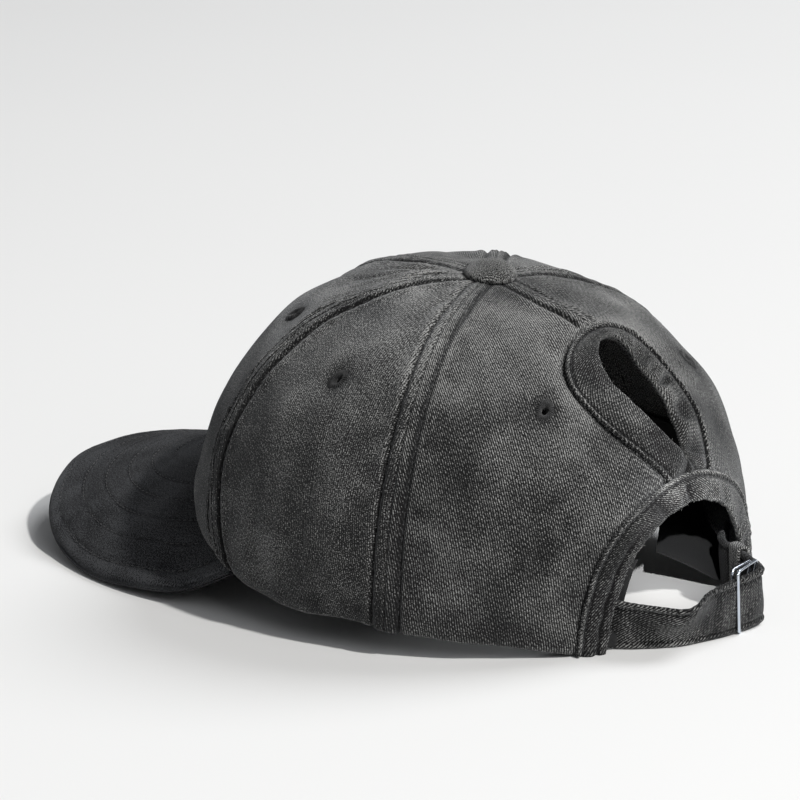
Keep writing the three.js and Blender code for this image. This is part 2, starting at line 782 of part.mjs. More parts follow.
function buckle() {
  const half = BUCKLE_HEIGHT / 2;
  const midZ = BUCKLE_WIRE / 2 + 0.1 + half;
  const front = { x: -5.2, y: 107.95 };
  const far = { x: -16.9, y: 107.6 };
  const corner = 1.4;
  const path = new THREE.CurvePath();
  const q = [
    new THREE.Vector3(front.x, front.y, midZ - half),
    new THREE.Vector3(front.x, front.y, midZ + half),
    new THREE.Vector3(far.x, far.y, midZ + half),
    new THREE.Vector3(far.x, far.y, midZ - half),
  ];
  const pts = [];
  for (let i = 0; i < 4; i++) {
    const p = q[i];
    const a = q[(i + 3) % 4].clone().sub(p).normalize();
    const b = q[(i + 1) % 4].clone().sub(p).normalize();
    for (let k = 0; k <= 3; k++) {
      const f = k / 3 * Math.PI / 2;
      pts.push(p.clone()
        .addScaledVector(a, corner * (1 - Math.sin(f)))
        .addScaledVector(b, corner * (1 - Math.cos(f))));
    }
  }
  const side = far.x - front.x;
  const plane = new THREE.Vector3(far.y - front.y, -side, 0).normalize();
  const n = pts.length;
  const rings = pts.map((p, i) => {
    const d = pts[(i + 1) % n].clone().sub(pts[(i + n - 1) % n]).normalize();
    const w = d.clone().cross(plane).normalize();
    const ring = [];
    for (let k = 0; k < 6; k++) {
      const f = k / 6 * 2 * Math.PI;
      ring.push(p.clone()
        .addScaledVector(w, BUCKLE_WIRE / 2 * Math.cos(f))
        .addScaledVector(plane, BUCKLE_WIRE / 2 * Math.sin(f)));
    }
    return ring;
  });
  return loft(rings, true);
}

// Small cloth loop round the strap beside the right leg
function keeper(line) {
  const i = line.findIndex((p) => p.x < -24.6);
  const p = line[i];
  const d = line[i + 2].clone().sub(line[i - 2]).setZ(0).normalize();
  const n = new THREE.Vector3(d.y, -d.x, 0);
  const ring = (halfDeep, low, high) => [
    [-halfDeep, low], [halfDeep, low], [halfDeep, high], [-halfDeep, high],
  ];
  const outerRing = ring(STRAP_THICK / 2 + 1.5, 0.4, p.z + STRAP_WIDTH + 1.7);
  const innerRing = ring(STRAP_THICK / 2 + 0.4, 1.6, p.z + STRAP_WIDTH + 0.5);
  const make = (shape, halfLong) => {
    const rings = [];
    for (const s of [-halfLong, halfLong]) {
      rings.push(shape.map(([a, z]) => new THREE.Vector3(
        p.x + d.x * s + n.x * a,
        p.y + d.y * s + n.y * a,
        z,
      )));
    }
    return loft(rings, false);
  };
  return make(outerRing, 3.5).subtract(make(innerRing, 6));
}

const cloth = new THREE.MeshStandardMaterial({ color: 0x3f4042, roughness: 0.93, metalness: 0 });
const worn = new THREE.MeshStandardMaterial({ color: 0x4f5051, roughness: 0.93, metalness: 0 });
const peakCloth = new THREE.MeshStandardMaterial({ color: 0x343638, roughness: 0.93, metalness: 0 });
const lining = new THREE.MeshStandardMaterial({ color: 0x1c1c1e, roughness: 0.95, metalness: 0 });
const board = new THREE.MeshStandardMaterial({ color: 0xd8d8d4, roughness: 0.5, metalness: 0 });
const steel = new THREE.MeshStandardMaterial({ color: 0xb8bec6, roughness: 0.25, metalness: 1 });

const group = new THREE.Group();

function add(name, solid, material) {
  const m = solid.getMesh();
  const g = new THREE.BufferGeometry();
  g.setAttribute("position", new THREE.BufferAttribute(new Float32Array(m.vertProperties), 3));
  g.setIndex(new THREE.BufferAttribute(new Uint32Array(m.triVerts), 1));
  g.computeVertexNormals();
  const mesh = new THREE.Mesh(g, material);
  mesh.name = name;
  mesh.position.set(0, ORIGIN_Y, 0);
  group.add(mesh);
}

for (const side of [1, -1]) {
  const tag = side > 0 ? "left" : "right";
  for (const g of GORES) {
    let solid = gore(g, side);
    const e = EYELETS.find((k) => k.name === g.name);
    solid = solid.subtract(eyeletHole(side * rad(e.angle), e.up));
    if (g.name === "back") solid = solid.subtract(archCut).subtract(slotCut);
    add(`panel_${g.name}_${tag}`, solid, cloth);
    add(`eyelet_${g.name}_${tag}`, eyelet(side * rad(e.angle), e.up), cloth);
  }
}
add("crown_button", button(), worn);

const arch = binding(archOut, archIn, false);
add("arch_binding", arch, worn);
add("slot_binding", binding(slotOut, slotIn, true).subtract(archCut), worn);

const fold = { out: 0.9, off: -2.9 };
const foldIn = { out: -0.15, off: -2.9 };
add("peak_top_cover", sheet(
  peakGrid(0, PANEL_THICK, 0, fold),
  peakGrid(-PEAK_COVER, PANEL_THICK, 1.2, foldIn),
), peakCloth);
add("peak_board", sheet(
  peakGrid(-PEAK_COVER - GAP, PANEL_THICK, 2.0, null),
  peakGrid(-PEAK_COVER - GAP - PEAK_BOARD, PANEL_THICK, 2.0, null),
), board);
const under = PEAK_COVER + 2 * GAP + PEAK_BOARD;
add("peak_under_cover", sheet(
  peakGrid(-under, PANEL_THICK, -0.8, null),
  peakGrid(-under - PEAK_COVER, PANEL_THICK, -0.5, null),
), peakCloth);

add("sweatband", sweatband(), lining);
add("leg_tape", legTape(), lining);
const line = strapLine(55);
add("strap", bandAlong(line, STRAP_WIDTH, STRAP_THICK), worn);
add("buckle", buckle(), steel);
add("strap_keeper", keeper(line), worn);

export default group;
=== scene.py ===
import math

import bpy
import numpy as np
from mathutils import Matrix, Vector


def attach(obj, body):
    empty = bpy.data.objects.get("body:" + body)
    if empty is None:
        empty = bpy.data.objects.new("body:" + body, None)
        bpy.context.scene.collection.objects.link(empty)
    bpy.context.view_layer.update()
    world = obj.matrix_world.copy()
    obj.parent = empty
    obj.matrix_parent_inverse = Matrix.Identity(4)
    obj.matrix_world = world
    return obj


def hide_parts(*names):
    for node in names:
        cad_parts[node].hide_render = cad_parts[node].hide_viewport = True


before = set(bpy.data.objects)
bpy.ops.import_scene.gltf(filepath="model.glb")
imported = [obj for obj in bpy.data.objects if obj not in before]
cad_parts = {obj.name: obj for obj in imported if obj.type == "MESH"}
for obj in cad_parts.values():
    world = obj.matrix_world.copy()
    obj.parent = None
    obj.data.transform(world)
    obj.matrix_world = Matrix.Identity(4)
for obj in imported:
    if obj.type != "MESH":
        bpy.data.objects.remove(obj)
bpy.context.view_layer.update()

# Soft cloth cap lying on its peak and strap. Shapes are worked out in millimetres, in the frame of
# the solids before they were centred: the peak points to -Y and the wearer's left is +X.
# Angles run from the front round to the wearer's left.
METRES = 0.001
ORIGIN_Y = 32.85

# Crown, as in the solids
CROWN_FRONT = 88.1
CROWN_BACK = 96.9
CROWN_HALF_WIDTH = 83.0
FRONT_SQUARENESS = 2.50
BACK_SQUARENESS = 1.90
CROWN_HEIGHT = 98.8
FRONT_SHOULDER = 3.48
BACK_SHOULDER = 1.75
FRONT_RISE_POWER = 1.89
BACK_RISE_POWER = 3.16
FRONT_BULGE = 0.062
BACK_BULGE = 0.022
BACK_FLAT = 4.7
TOP_SHIFT_BACK = 3.3
RIM_SIDE_LIFT = 3.1
RIM_FRONT_LIFT = 9.9
RIM_FRONT_LIFT_ANGLE = 75
LEG_DROP = 2.0
RIM_SAG = 3.2
RIM_SAG_ANGLE = 85
LEAN_BACK = 5.3
TOP_HOLE_RADIUS = 3.5
REST_ON_PEAK = 0.2
PANEL_THICK = 1.8
SEAM_BAND_RIM = 4.6
SEAM_BAND_TOP = 3.1
SEAM_FRONT_RIM = 68.0
SEAM_FRONT = 59.5
SEAM_FRONT_TURN = 0.36
SEAM_BACK = 109.4
# Peak, as in the solids
PEAK_HALF_WIDTH = 82.2
PEAK_CENTRE_Y = -69.0
PEAK_DEPTH = 107.0
PEAK_SQUARENESS = 2.16
PEAK_BEND_RADIUS = 117.0
PEAK_ROOT_Z = 37.6
PEAK_SLOPE = 0.232
PEAK_CURL = -0.054
PEAK_ROOT_ANGLE = 67
PEAK_SIDE_DROOP = 3.0
# Fittings, as in the solids
BUTTON_RADIUS = 8.9
BUTTON_HEIGHT = 5.2
EYELET_RADIUS = 4.0
EYELET_HOLE = 1.2
EYELETS = {"front": (38.0, 0.560), "side": (86.6, 0.545), "back": (143.2, 0.541)}
SWEATBAND_HEIGHT = 30
SWEATBAND_END = 53
STRAP_WIDTH = 18.5
STRAP_THICK = 1.6
# Buckle: heights of its lowest and highest wire, wire radii and bend radius
BUCKLE_BOTTOM = 0.62
BUCKLE_TOP = 21.2
BUCKLE_FRAME_RADIUS = 0.56
BUCKLE_BAR_RADIUS = 0.5
BUCKLE_BEND = 1.4

# Half-moon opening in cloth millimetres: outer line across and up, inner line across and up
ARCH = np.array([
    (47.9, 0.2, 37.8, 0.2), (47.3, 10, 37.0, 10), (45.3, 20, 34.4, 19.6), (41.5, 30, 30.0, 28.6),
    (35.5, 38, 24.6, 34.5), (27.6, 44.3, 18.2, 38.4), (18.0, 48.6, 11.6, 40.9), (8.0, 51.5, 4.6, 42.3),
    (-1.5, 52.5, -2.0, 42.9), (-11.0, 51.2, -8.8, 41.6), (-20.5, 47.6, -16.0, 38.6),
    (-29.5, 42.6, -22.0, 34.5), (-37.5, 36.4, -26.6, 28.8), (-43.8, 28.6, -30.0, 21.4),
    (-47.9, 19.4, -32.6, 14.0), (-49.6, 9.6, -34.6, 7.0), (-49.8, 0.2, -35.6, 0.2),
])
# Teardrop opening above it, from its foot up the left, over the top and down the right
SLOT = np.array([
    (4.0, 47.5, -3.3, 56.2), (9.4, 55.4, -2.2, 59.4), (15.6, 63.6, 0.9, 64.2), (20.6, 71.2, 4.4, 70.8),
    (24.2, 79.2, 7.2, 78.6), (25.5, 87.2, 9.4, 86.4), (23.2, 94.6, 9.3, 93.4), (18.3, 101.2, 6.8, 99.6),
    (11.4, 106.6, 2.6, 103.6), (2.4, 110.2, -1.6, 105.0), (-7.0, 109.4, -5.6, 103.6),
    (-14.0, 104.6, -7.4, 98.6), (-17.8, 97.2, -6.8, 92.6), (-19.0, 88.4, -6.6, 86.4),
    (-19.8, 79.6, -5.8, 79.8), (-20.0, 71.4, -4.5, 73.4), (-18.6, 63.4, -3.4, 67.0),
    (-16.4, 55.4, -3.0, 61.0), (-12.0, 47.5, -3.4, 57.4),
])
# Strap's middle line: x, y, height of the lower edge, and how far its top leans outwards in degrees
STRAP = np.array([
    (47.2, 71.2, 3.4, 0), (43.9, 74.1, 2.8, 2), (39.6, 77.4, 2.0, 5), (34.6, 81.0, 0.8, 9),
    (31.2, 85.4, 0.2, 13), (26.3, 92.4, 0.0, 21), (21.0, 98.2, 0.0, 28), (17.0, 101.6, 0.0, 33),
    (10.5, 104.3, 0.0, 15), (3.0, 107.0, 0.0, 5), (-4.1, 108.7, 0.2, 1), (-10.0, 109.9, 0.6, 0),
    (-15.2, 109.7, 1.0, 0), (-18.0, 106.8, 1.4, 0), (-20.8, 101.0, 1.8, 0), (-25.0, 93.6, 2.0, 0),
    (-28.8, 85.2, 2.2, 0), (-33.1, 80.5, 2.6, 0), (-38.4, 78.2, 3.0, 0), (-43.0, 75.4, 3.4, 0),
])
# Soft creases of the crown: angle and height of both ends, half width, depth
CREASES = [
    (150.0, 0.50, 158.0, 0.36, 3.4, -0.75),
    (137.0, 0.50, 131.0, 0.36, 4.2, -0.6),
    (139.0, 0.26, 138.0, 0.05, 3.0, -0.8),
    (142.5, 0.30, 141.5, 0.06, 3.2, 0.55),
    (96.0, 0.30, 93.0, 0.06, 3.6, -0.8),
    (86.0, 0.28, 84.5, 0.02, 3.0, 0.8),
    (78.5, 0.26, 80.0, 0.05, 3.6, -0.9),
    (75.0, 0.50, 82.0, 0.36, 4.6, 0.6),
    (52.0, 0.95, 47.0, 0.66, 1.7, -2.6),
    (44.0, 0.95, 36.0, 0.68, 1.7, 2.0),
    (36.0, 0.95, 25.0, 0.70, 1.7, -2.5),
    (22.0, 0.94, 14.0, 0.74, 1.6, -1.9),
    (100.0, 0.93, 96.0, 0.78, 1.6, -0.8),
    (-40.0, 0.88, -28.0, 0.70, 2.2, -0.8),
    (-150.0, 0.62, -156.0, 0.44, 2.6, -0.7),
    (-140.0, 0.40, -136.0, 0.18, 3.4, -0.7),
    (-90.0, 0.34, -84.0, 0.06, 3.6, -0.7),
    (12.0, 0.34, 22.0, 0.12, 4.0, -0.5),
    (-14.0, 0.40, -26.0, 0.14, 4.0, -0.5),
]


def rad(v):
    return math.radians(v)


def smooth(v):
    v = np.clip(v, 0, 1)
    return v * v * (3 - 2 * v)


def hump(v):
    return np.exp(-v * v)


def wrap(a):
    return np.arctan2(np.sin(a), np.cos(a))


def pow_sign(v, p):
    return np.sign(v) * np.abs(v) ** p


def unit(v):
    return v / np.maximum(np.linalg.norm(v, axis=-1, keepdims=True), 1e-9)


def lengths(points):
    steps = np.linalg.norm(np.diff(points, axis=0), axis=-1)
    return np.concatenate([np.zeros((1,) + steps.shape[1:]), np.cumsum(steps, axis=0)], 0)


# Smooth irregular waves through space, with a spread of about one
def soft_waves(points, wavelength, seed, count=22):
    rng = np.random.default_rng(seed)
    points = np.asarray(points, float)
    k = unit(rng.normal(size=(count, points.shape[-1])))
    k = k * 2 * math.pi / (wavelength * rng.uniform(0.7, 1.5, size=(count, 1)))
    phase = rng.uniform(0, 2 * math.pi, count)
    total = np.zeros(points.shape[:-1])
    for i in range(count):
        total += np.sin(points @ k[i] + phase[i])
    return total * math.sqrt(2 / count)


def waves_along(distance, wavelength, seed):
    return soft_waves(np.asarray(distance, float)[..., None], wavelength, seed, 9)


def plan_at(th):
    c = np.cos(th)
    s = np.sin(th)
    depth = np.where(c > 0, CROWN_FRONT, CROWN_BACK)
    n = np.where(c > 0, FRONT_SQUARENESS, BACK_SQUARENESS)
    return CROWN_HALF_WIDTH * pow_sign(s, 2 / n), -depth * pow_sign(c, 2 / n)


def lean_back(x, y, z):
    t = rad(LEAN_BACK)
    turned_y = y * math.cos(t) + z * math.sin(t)
    turned_z = -y * math.sin(t) + z * math.cos(t) + CROWN_BACK * math.sin(t)
    return x, turned_y, turned_z


def peak_z(x, y):
    f = -y - CROWN_FRONT
    ax = np.minimum(np.abs(x), 0.999 * PEAK_BEND_RADIUS)
    drop = PEAK_BEND_RADIUS - np.sqrt(PEAK_BEND_RADIUS ** 2 - ax * ax)
    side = PEAK_SIDE_DROOP * smooth((ax - 45) / 35) * smooth((y + 90) / 35)
    return PEAK_ROOT_Z - drop - PEAK_SLOPE * f - PEAK_CURL * f * f / 100 - side


def rim_z(th):
    d = np.abs(wrap(th))
    k = np.clip(d / rad(RIM_FRONT_LIFT_ANGLE), 0, 1)
    lift = RIM_FRONT_LIFT * 0.5 * (1 + np.cos(math.pi * k)) + RIM_SIDE_LIFT * np.sin(th) ** 2
    sag = RIM_SAG * hump((d - rad(RIM_SAG_ANGLE)) / rad(9))
    return lift - sag - LEG_DROP * hump((d - rad(152)) / rad(16))


# Outer surface of the crown; s runs from 0 at the rim to 1 at the top
def dome(th, s):
    th, s = np.broadcast_arrays(np.asarray(th, float), np.asarray(s, float))
    w = 0.5 * (1 + np.cos(th))
    p = FRONT_SHOULDER * w + BACK_SHOULDER * (1 - w)
    q = FRONT_RISE_POWER * w + BACK_RISE_POWER * (1 - w)
    a = np.clip(s, 0, 1) * math.pi / 2
    rho = np.maximum(0, np.cos(a)) ** (2 / p)
    zt = np.clip(np.sin(a), 0, 1) ** (2 / q)
    x0, y0 = plan_at(th)
    bulge = 1 + (FRONT_BULGE * w + BACK_BULGE * (1 - w)) * np.sin(math.pi * zt ** 0.6)
    flat = BACK_FLAT * hump(wrap(th - math.pi) / rad(32)) * np.sin(math.pi * zt)
    y = y0 * rho * bulge - flat + TOP_SHIFT_BACK * (1 - rho)
    x, y, z = lean_back(x0 * rho * bulge, y, rim_z(th) * (1 - zt) + CROWN_HEIGHT * zt)
    k = smooth((rad(PEAK_ROOT_ANGLE + 9) - np.abs(wrap(th))) / rad(13))
    rx, ry, rz = lean_back(x0, y0, rim_z(th))
    seat = np.maximum(peak_z(rx, ry), peak_z(rx * 0.976, ry * 0.976)) + REST_ON_PEAK
    return np.stack([x, y, z + (seat - rz) * k * (1 - zt) ** 2], -1)


# Tables that turn a share of each meridian's length into its place on the dome
TURNS = 2160
HEIGHTS = 420
TOP_SHARE = 1.018
TABLE_TH = np.linspace(-math.pi, math.pi, TURNS + 1)
TABLE_T = np.linspace(0, TOP_SHARE, HEIGHTS + 1)


def meridian_tables():
    ss = 1 - (1 - np.linspace(0, 1, 221)) ** 3
    pts = dome(TABLE_TH[:, None], ss[None])
    steps = np.linalg.norm(np.diff(pts, axis=1), axis=-1)
    along = np.concatenate([np.zeros((TURNS + 1, 1)), np.cumsum(steps, axis=1)], 1)
    top = pts[:, -1:, :2]
    out = np.linalg.norm(pts[..., :2] - top, axis=-1)
    ends = np.zeros(TURNS + 1)
    shares = np.zeros((TURNS + 1, HEIGHTS + 1))
    for i in range(TURNS + 1):
        ends[i] = np.interp(TOP_HOLE_RADIUS, out[i, ::-1][:90], along[i, ::-1][:90])
        shares[i] = np.interp(TABLE_T * ends[i], along[i], ss)
    return ends, shares


MERIDIAN_END, MERIDIAN_SHARE = meridian_tables()


def look_up(table, u, v):
    i = np.clip(np.floor(u).astype(int), 0, table.shape[0] - 2)
    j = np.clip(np.floor(v).astype(int), 0, table.shape[1] - 2)
    f = np.clip(u - i, 0, 1)
    g = np.clip(v - j, 0, 1)
    low = table[i, j] * (1 - g) + table[i, j + 1] * g
    high = table[i + 1, j] * (1 - g) + table[i + 1, j + 1] * g
    return low * (1 - f) + high * f


def meridian_length(th):
    return np.interp(wrap(th), TABLE_TH, MERIDIAN_END)


def crown(th, t):
    th, t = np.broadcast_arrays(np.asarray(th, float), np.asarray(t, float))
    u = (wrap(th) + math.pi) / (2 * math.pi) * TURNS
    v = np.clip(t, 0, TOP_SHARE) / TOP_SHARE * HEIGHTS
    return dome(th, look_up(MERIDIAN_SHARE, u, v))


def crown_normal(th, t):
    e = 0.006
    across = crown(th + e, t) - crown(th - e, t)
    up = crown(th, np.minimum(TOP_SHARE, t + e)) - crown(th, np.maximum(0, t - e))
    return unit(np.cross(across, up))


# Cloth distances across the back, from its middle
BACK_LENGTH = float(meridian_length(math.pi))
BACK_REACH = 1.7
BACK_ANGLES = math.pi - np.linspace(0, BACK_REACH, 171)
BACK_SHARES = np.linspace(0, 1, 241)
BACK_ACROSS = lengths(crown(BACK_ANGLES[:, None], BACK_SHARES[None]))
ACROSS_STEP = 0.25
ACROSS_STOPS = np.arange(0, 150, ACROSS_STEP)
BACK_ANGLE_OF = np.stack([
    np.interp(ACROSS_STOPS, BACK_ACROSS[:, j], BACK_ANGLES) for j in range(len(BACK_SHARES))
])


def back_angle(across, t):
    v = np.abs(across) / ACROSS_STEP
    th = look_up(BACK_ANGLE_OF, np.clip(t, 0, 1) * 240, v)
    return np.where(np.asarray(across) < 0, -th, th)


def back_across(th, t):
    u = (math.pi - np.abs(wrap(th))) / BACK_REACH * 170
    return np.sign(wrap(th)) * look_up(BACK_ACROSS, u, np.clip(t, 0, 1) * 240)


def crease_field(points):
    total = np.zeros(points.shape[:-1])
    for th0, t0, th1, t1, wide, deep in CREASES:
        ends = crown(np.radians([th0, th1]), np.array([t0, t1]))
        line = ends[1] - ends[0]
        k = ((points - ends[0]) @ line) / (line @ line)
        near = ends[0] + np.clip(k, 0, 1)[..., None] * line
        gap = np.linalg.norm(points - near, axis=-1)
        body = smooth(np.clip(k, 0, 1) * 2.2) * smooth(np.clip(1 - k, 0, 1) * 2.2)
        total += deep * hump(gap / wide) * (0.25 + 0.75 * body) * (gap < 4 * wide)
    return total


# How far the soft cloth lies off its even shape
def drape(th, t):
    p = crown(th, t)
    even = 0.5 * soft_waves(p, 44, 11) + 0.2 * soft_waves(p, 19, 12) + crease_field(p)
    slack = 2.9 * hump((np.abs(wrap(th)) - rad(43)) / rad(27)) * smooth(np.asarray(t) / 0.16)
    even = even - slack * smooth((0.92 - np.asarray(t)) / 0.4)
    front = smooth((rad(84) - np.abs(wrap(th))) / rad(16))
    even = even * (1 - front * (1 - smooth(np.asarray(t) / 0.13)))
    even = even * (1 - 0.7 * smooth((np.asarray(t) - 0.86) / 0.12))
    for angle, height in EYELETS.values():
        for side in (1, -1):
            gap = np.linalg.norm(p - crown(side * rad(angle), height), axis=-1)
            even = even - 1.0 * hump(gap / 5.5)
    return even


def on_crown(th, t, off):
    return crown(th, t) + crown_normal(th, t) * (drape(th, t) + off)[..., None]


def on_back(across, up, off):
    t = np.maximum(0.0002, up / BACK_LENGTH)
    return on_crown(back_angle(across, t), t, off)


# Centripetal curve through the rows of a table
def curve_through(table, count, closed=False):
    table = np.asarray(table, float)
    n = len(table)
    spans = n if closed else n - 1
    out = []
    for p in np.linspace(0, spans, count, endpoint=not closed):
        i = min(int(p), spans - 1)
        w = p - i
        p1 = table[i % n]
        p2 = table[(i + 1) % n]
        p0 = table[(i - 1) % n] if closed or i > 0 else 2 * p1 - p2
        p3 = table[(i + 2) % n] if closed or i + 2 < n else 2 * p2 - p1
        d0 = max(np.linalg.norm(p1 - p0) ** 0.5, 1e-3)
        d1 = max(np.linalg.norm(p2 - p1) ** 0.5, 1e-3)
        d2 = max(np.linalg.norm(p3 - p2) ** 0.5, 1e-3)
        a = ((p1 - p0) / d0 - (p2 - p0) / (d0 + d1) + (p2 - p1) / d1) * d1
        b = ((p2 - p1) / d1 - (p3 - p1) / (d1 + d2) + (p3 - p2) / d2) * d1
        square = -3 * p1 + 3 * p2 - 2 * a - b
        cube = 2 * p1 - 2 * p2 + a + b
        out.append(p1 + a * w + square * w ** 2 + cube * w ** 3)
    return np.array(out)


ARCH_STATIONS = 340
SLOT_STATIONS = 320
arch_out = curve_through(ARCH[:, :2], ARCH_STATIONS)
arch_in = curve_through(ARCH[:, 2:], ARCH_STATIONS)
slot_out = curve_through(SLOT[:, :2], SLOT_STATIONS, True)
slot_in = curve_through(SLOT[:, 2:], SLOT_STATIONS, True)


def to_line(points, line, closed=False):
    a = line if closed else line[:-1]
    b = np.roll(line, -1, axis=0) if closed else line[1:]
    ab = b - a
    best = np.full(points.shape[:-1], 1e9)
    foot = np.zeros(points.shape)
    for i in range(len(a)):
        k = np.clip(((points - a[i]) @ ab[i]) / max(ab[i] @ ab[i], 1e-9), 0, 1)
        near = a[i] + k[..., None] * ab[i]
        d = np.linalg.norm(points - near, axis=-1)
        closer = d < best
        best = np.where(closer, d, best)
        foot = np.where(closer[..., None], near, foot)
    return best, foot


def inside_outline(points, line):
    x, y = points[..., 0], points[..., 1]
    hit = np.zeros(x.shape, bool)
    for (ax, ay), (bx, by) in zip(line, np.roll(line, -1, axis=0)):
        if ay == by:
            continue
        cross = (ay > y) != (by > y)
        hit ^= cross & (x < (bx - ax) * (y - ay) / (by - ay) + ax)
    return hit


def mesh_object(name, verts, faces, material, weave=None, wear=None, speckle=0.0):
    verts = np.asarray(verts, float).copy()
    verts[:, 1] += ORIGIN_Y
    faces = [np.asarray(f, int) for f in faces if len(f)]
    mesh = bpy.data.meshes.new(name)
    mesh.vertices.add(len(verts))
    mesh.vertices.foreach_set("co", (verts * METRES).ravel())
    corners = np.concatenate([f.ravel() for f in faces])
    sizes = np.concatenate([np.full(len(f), f.shape[1]) for f in faces])
    mesh.loops.add(len(corners))
    mesh.loops.foreach_set("vertex_index", corners)
    mesh.polygons.add(len(sizes))
    mesh.polygons.foreach_set("loop_start", np.concatenate([[0], np.cumsum(sizes)[:-1]]))
    mesh.polygons.foreach_set("use_smooth", np.ones(len(sizes), bool))
    if weave is not None:
        threads = mesh.attributes.new("weave", "FLOAT_VECTOR", "POINT")
        flat = np.zeros((len(verts), 3))
        flat[:, 2] = np.ravel(speckle)
        flat[:, :2] = weave
        threads.data.foreach_set("vector", flat.ravel())
    # The wear attribute holds rubbed edges together with painted light and shade
    if wear is not None:
        rubbed_and_shaded = mesh.attributes.new("wear", "FLOAT", "POINT")
        rubbed_and_shaded.data.foreach_set("value", np.asarray(wear, float).ravel())
    mesh.update(calc_edges=True)
    mesh.validate(clean_customdata=False)
    obj = bpy.data.objects.new(name, mesh)
    bpy.context.scene.collection.objects.link(obj)
    mesh.materials.append(material)
    return obj


# Closed cloth shell between an outer and an inner grid; cells that aren't kept are cut out
def cloth_shell(name, outer, inner, material, weave, wear_and_shade_out, wear_and_shade_in, keep=None, speckle=0.0):
    rows, cols = outer.shape[:2]
    if keep is None:
        keep = np.ones((rows - 1, cols - 1), bool)
    o = np.arange(rows * cols).reshape(rows, cols)
    n = o + rows * cols
    a, b, c, d = o[:-1, :-1], o[:-1, 1:], o[1:, 1:], o[1:, :-1]
    e, f, g, h = n[:-1, :-1], n[:-1, 1:], n[1:, 1:], n[1:, :-1]
    quads = [np.stack([q[keep] for q in (a, b, c, d)], 1), np.stack([q[keep] for q in (e, h, g, f)], 1)]
    padded = np.pad(keep, 1)
    rims = [(-1, 0, (b, a, e, f)), (1, 0, (d, c, g, h)), (0, -1, (a, d, h, e)), (0, 1, (c, b, f, g))]
    for drow, dcol, corners in rims:
        beyond = padded[1 + drow:rows + drow, 1 + dcol:cols + dcol]
        edge = keep & ~beyond
        quads.append(np.stack([q[edge] for q in corners], 1))
    faces = np.concatenate(quads)
    verts = np.concatenate([outer.reshape(-1, 3), inner.reshape(-1, 3)])
    used = np.unique(faces)
    index = np.full(len(verts), -1)
    index[used] = np.arange(len(used))
    both = np.concatenate([weave.reshape(-1, 2)] * 2)[used]
    rubbed_and_shaded = np.concatenate([wear_and_shade_out.ravel(), wear_and_shade_in.ravel()])[used]
    return mesh_object(name, verts[used], [index[faces]], material, both, rubbed_and_shaded, speckle)


# Quads between closed rings of points
def ring_quads(near, far):
    corners = [near, far, np.roll(far, -1, axis=1), np.roll(near, -1, axis=1)]
    return np.stack(corners, -1).reshape(-1, 4)


# Tube of closed sections along a path, joined round or closed at both ends
def lofted(name, rings, material, weave, wear, closed, speckle=0.0):
    m, n = rings.shape[:2]
    idx = np.arange(m * n).reshape(m, n)
    verts = rings.reshape(-1, 3)
    if closed:
        faces = [ring_quads(idx, np.roll(idx, -1, axis=0))]
    else:
        faces = [ring_quads(idx[:-1], idx[1:]), idx[:1], idx[-1:, ::-1]]
    centre = rings[m // 2].mean(0)
    along = rings[min(m // 2 + 1, m - 1)].mean(0) - centre
    turn = sum(np.cross(rings[m // 2][i] - centre, rings[m // 2][(i + 1) % n] - centre) for i in range(n))
    if np.dot(turn, along) > 0:
        faces = [f[:, ::-1] for f in faces]
    return mesh_object(name, verts, faces, material, weave.reshape(-1, 2), wear, speckle)


def turned(x, y, degrees):
    a = rad(degrees)
    return np.stack([x * math.cos(a) + y * math.sin(a), -x * math.sin(a) + y * math.cos(a)], -1)


# Finishes


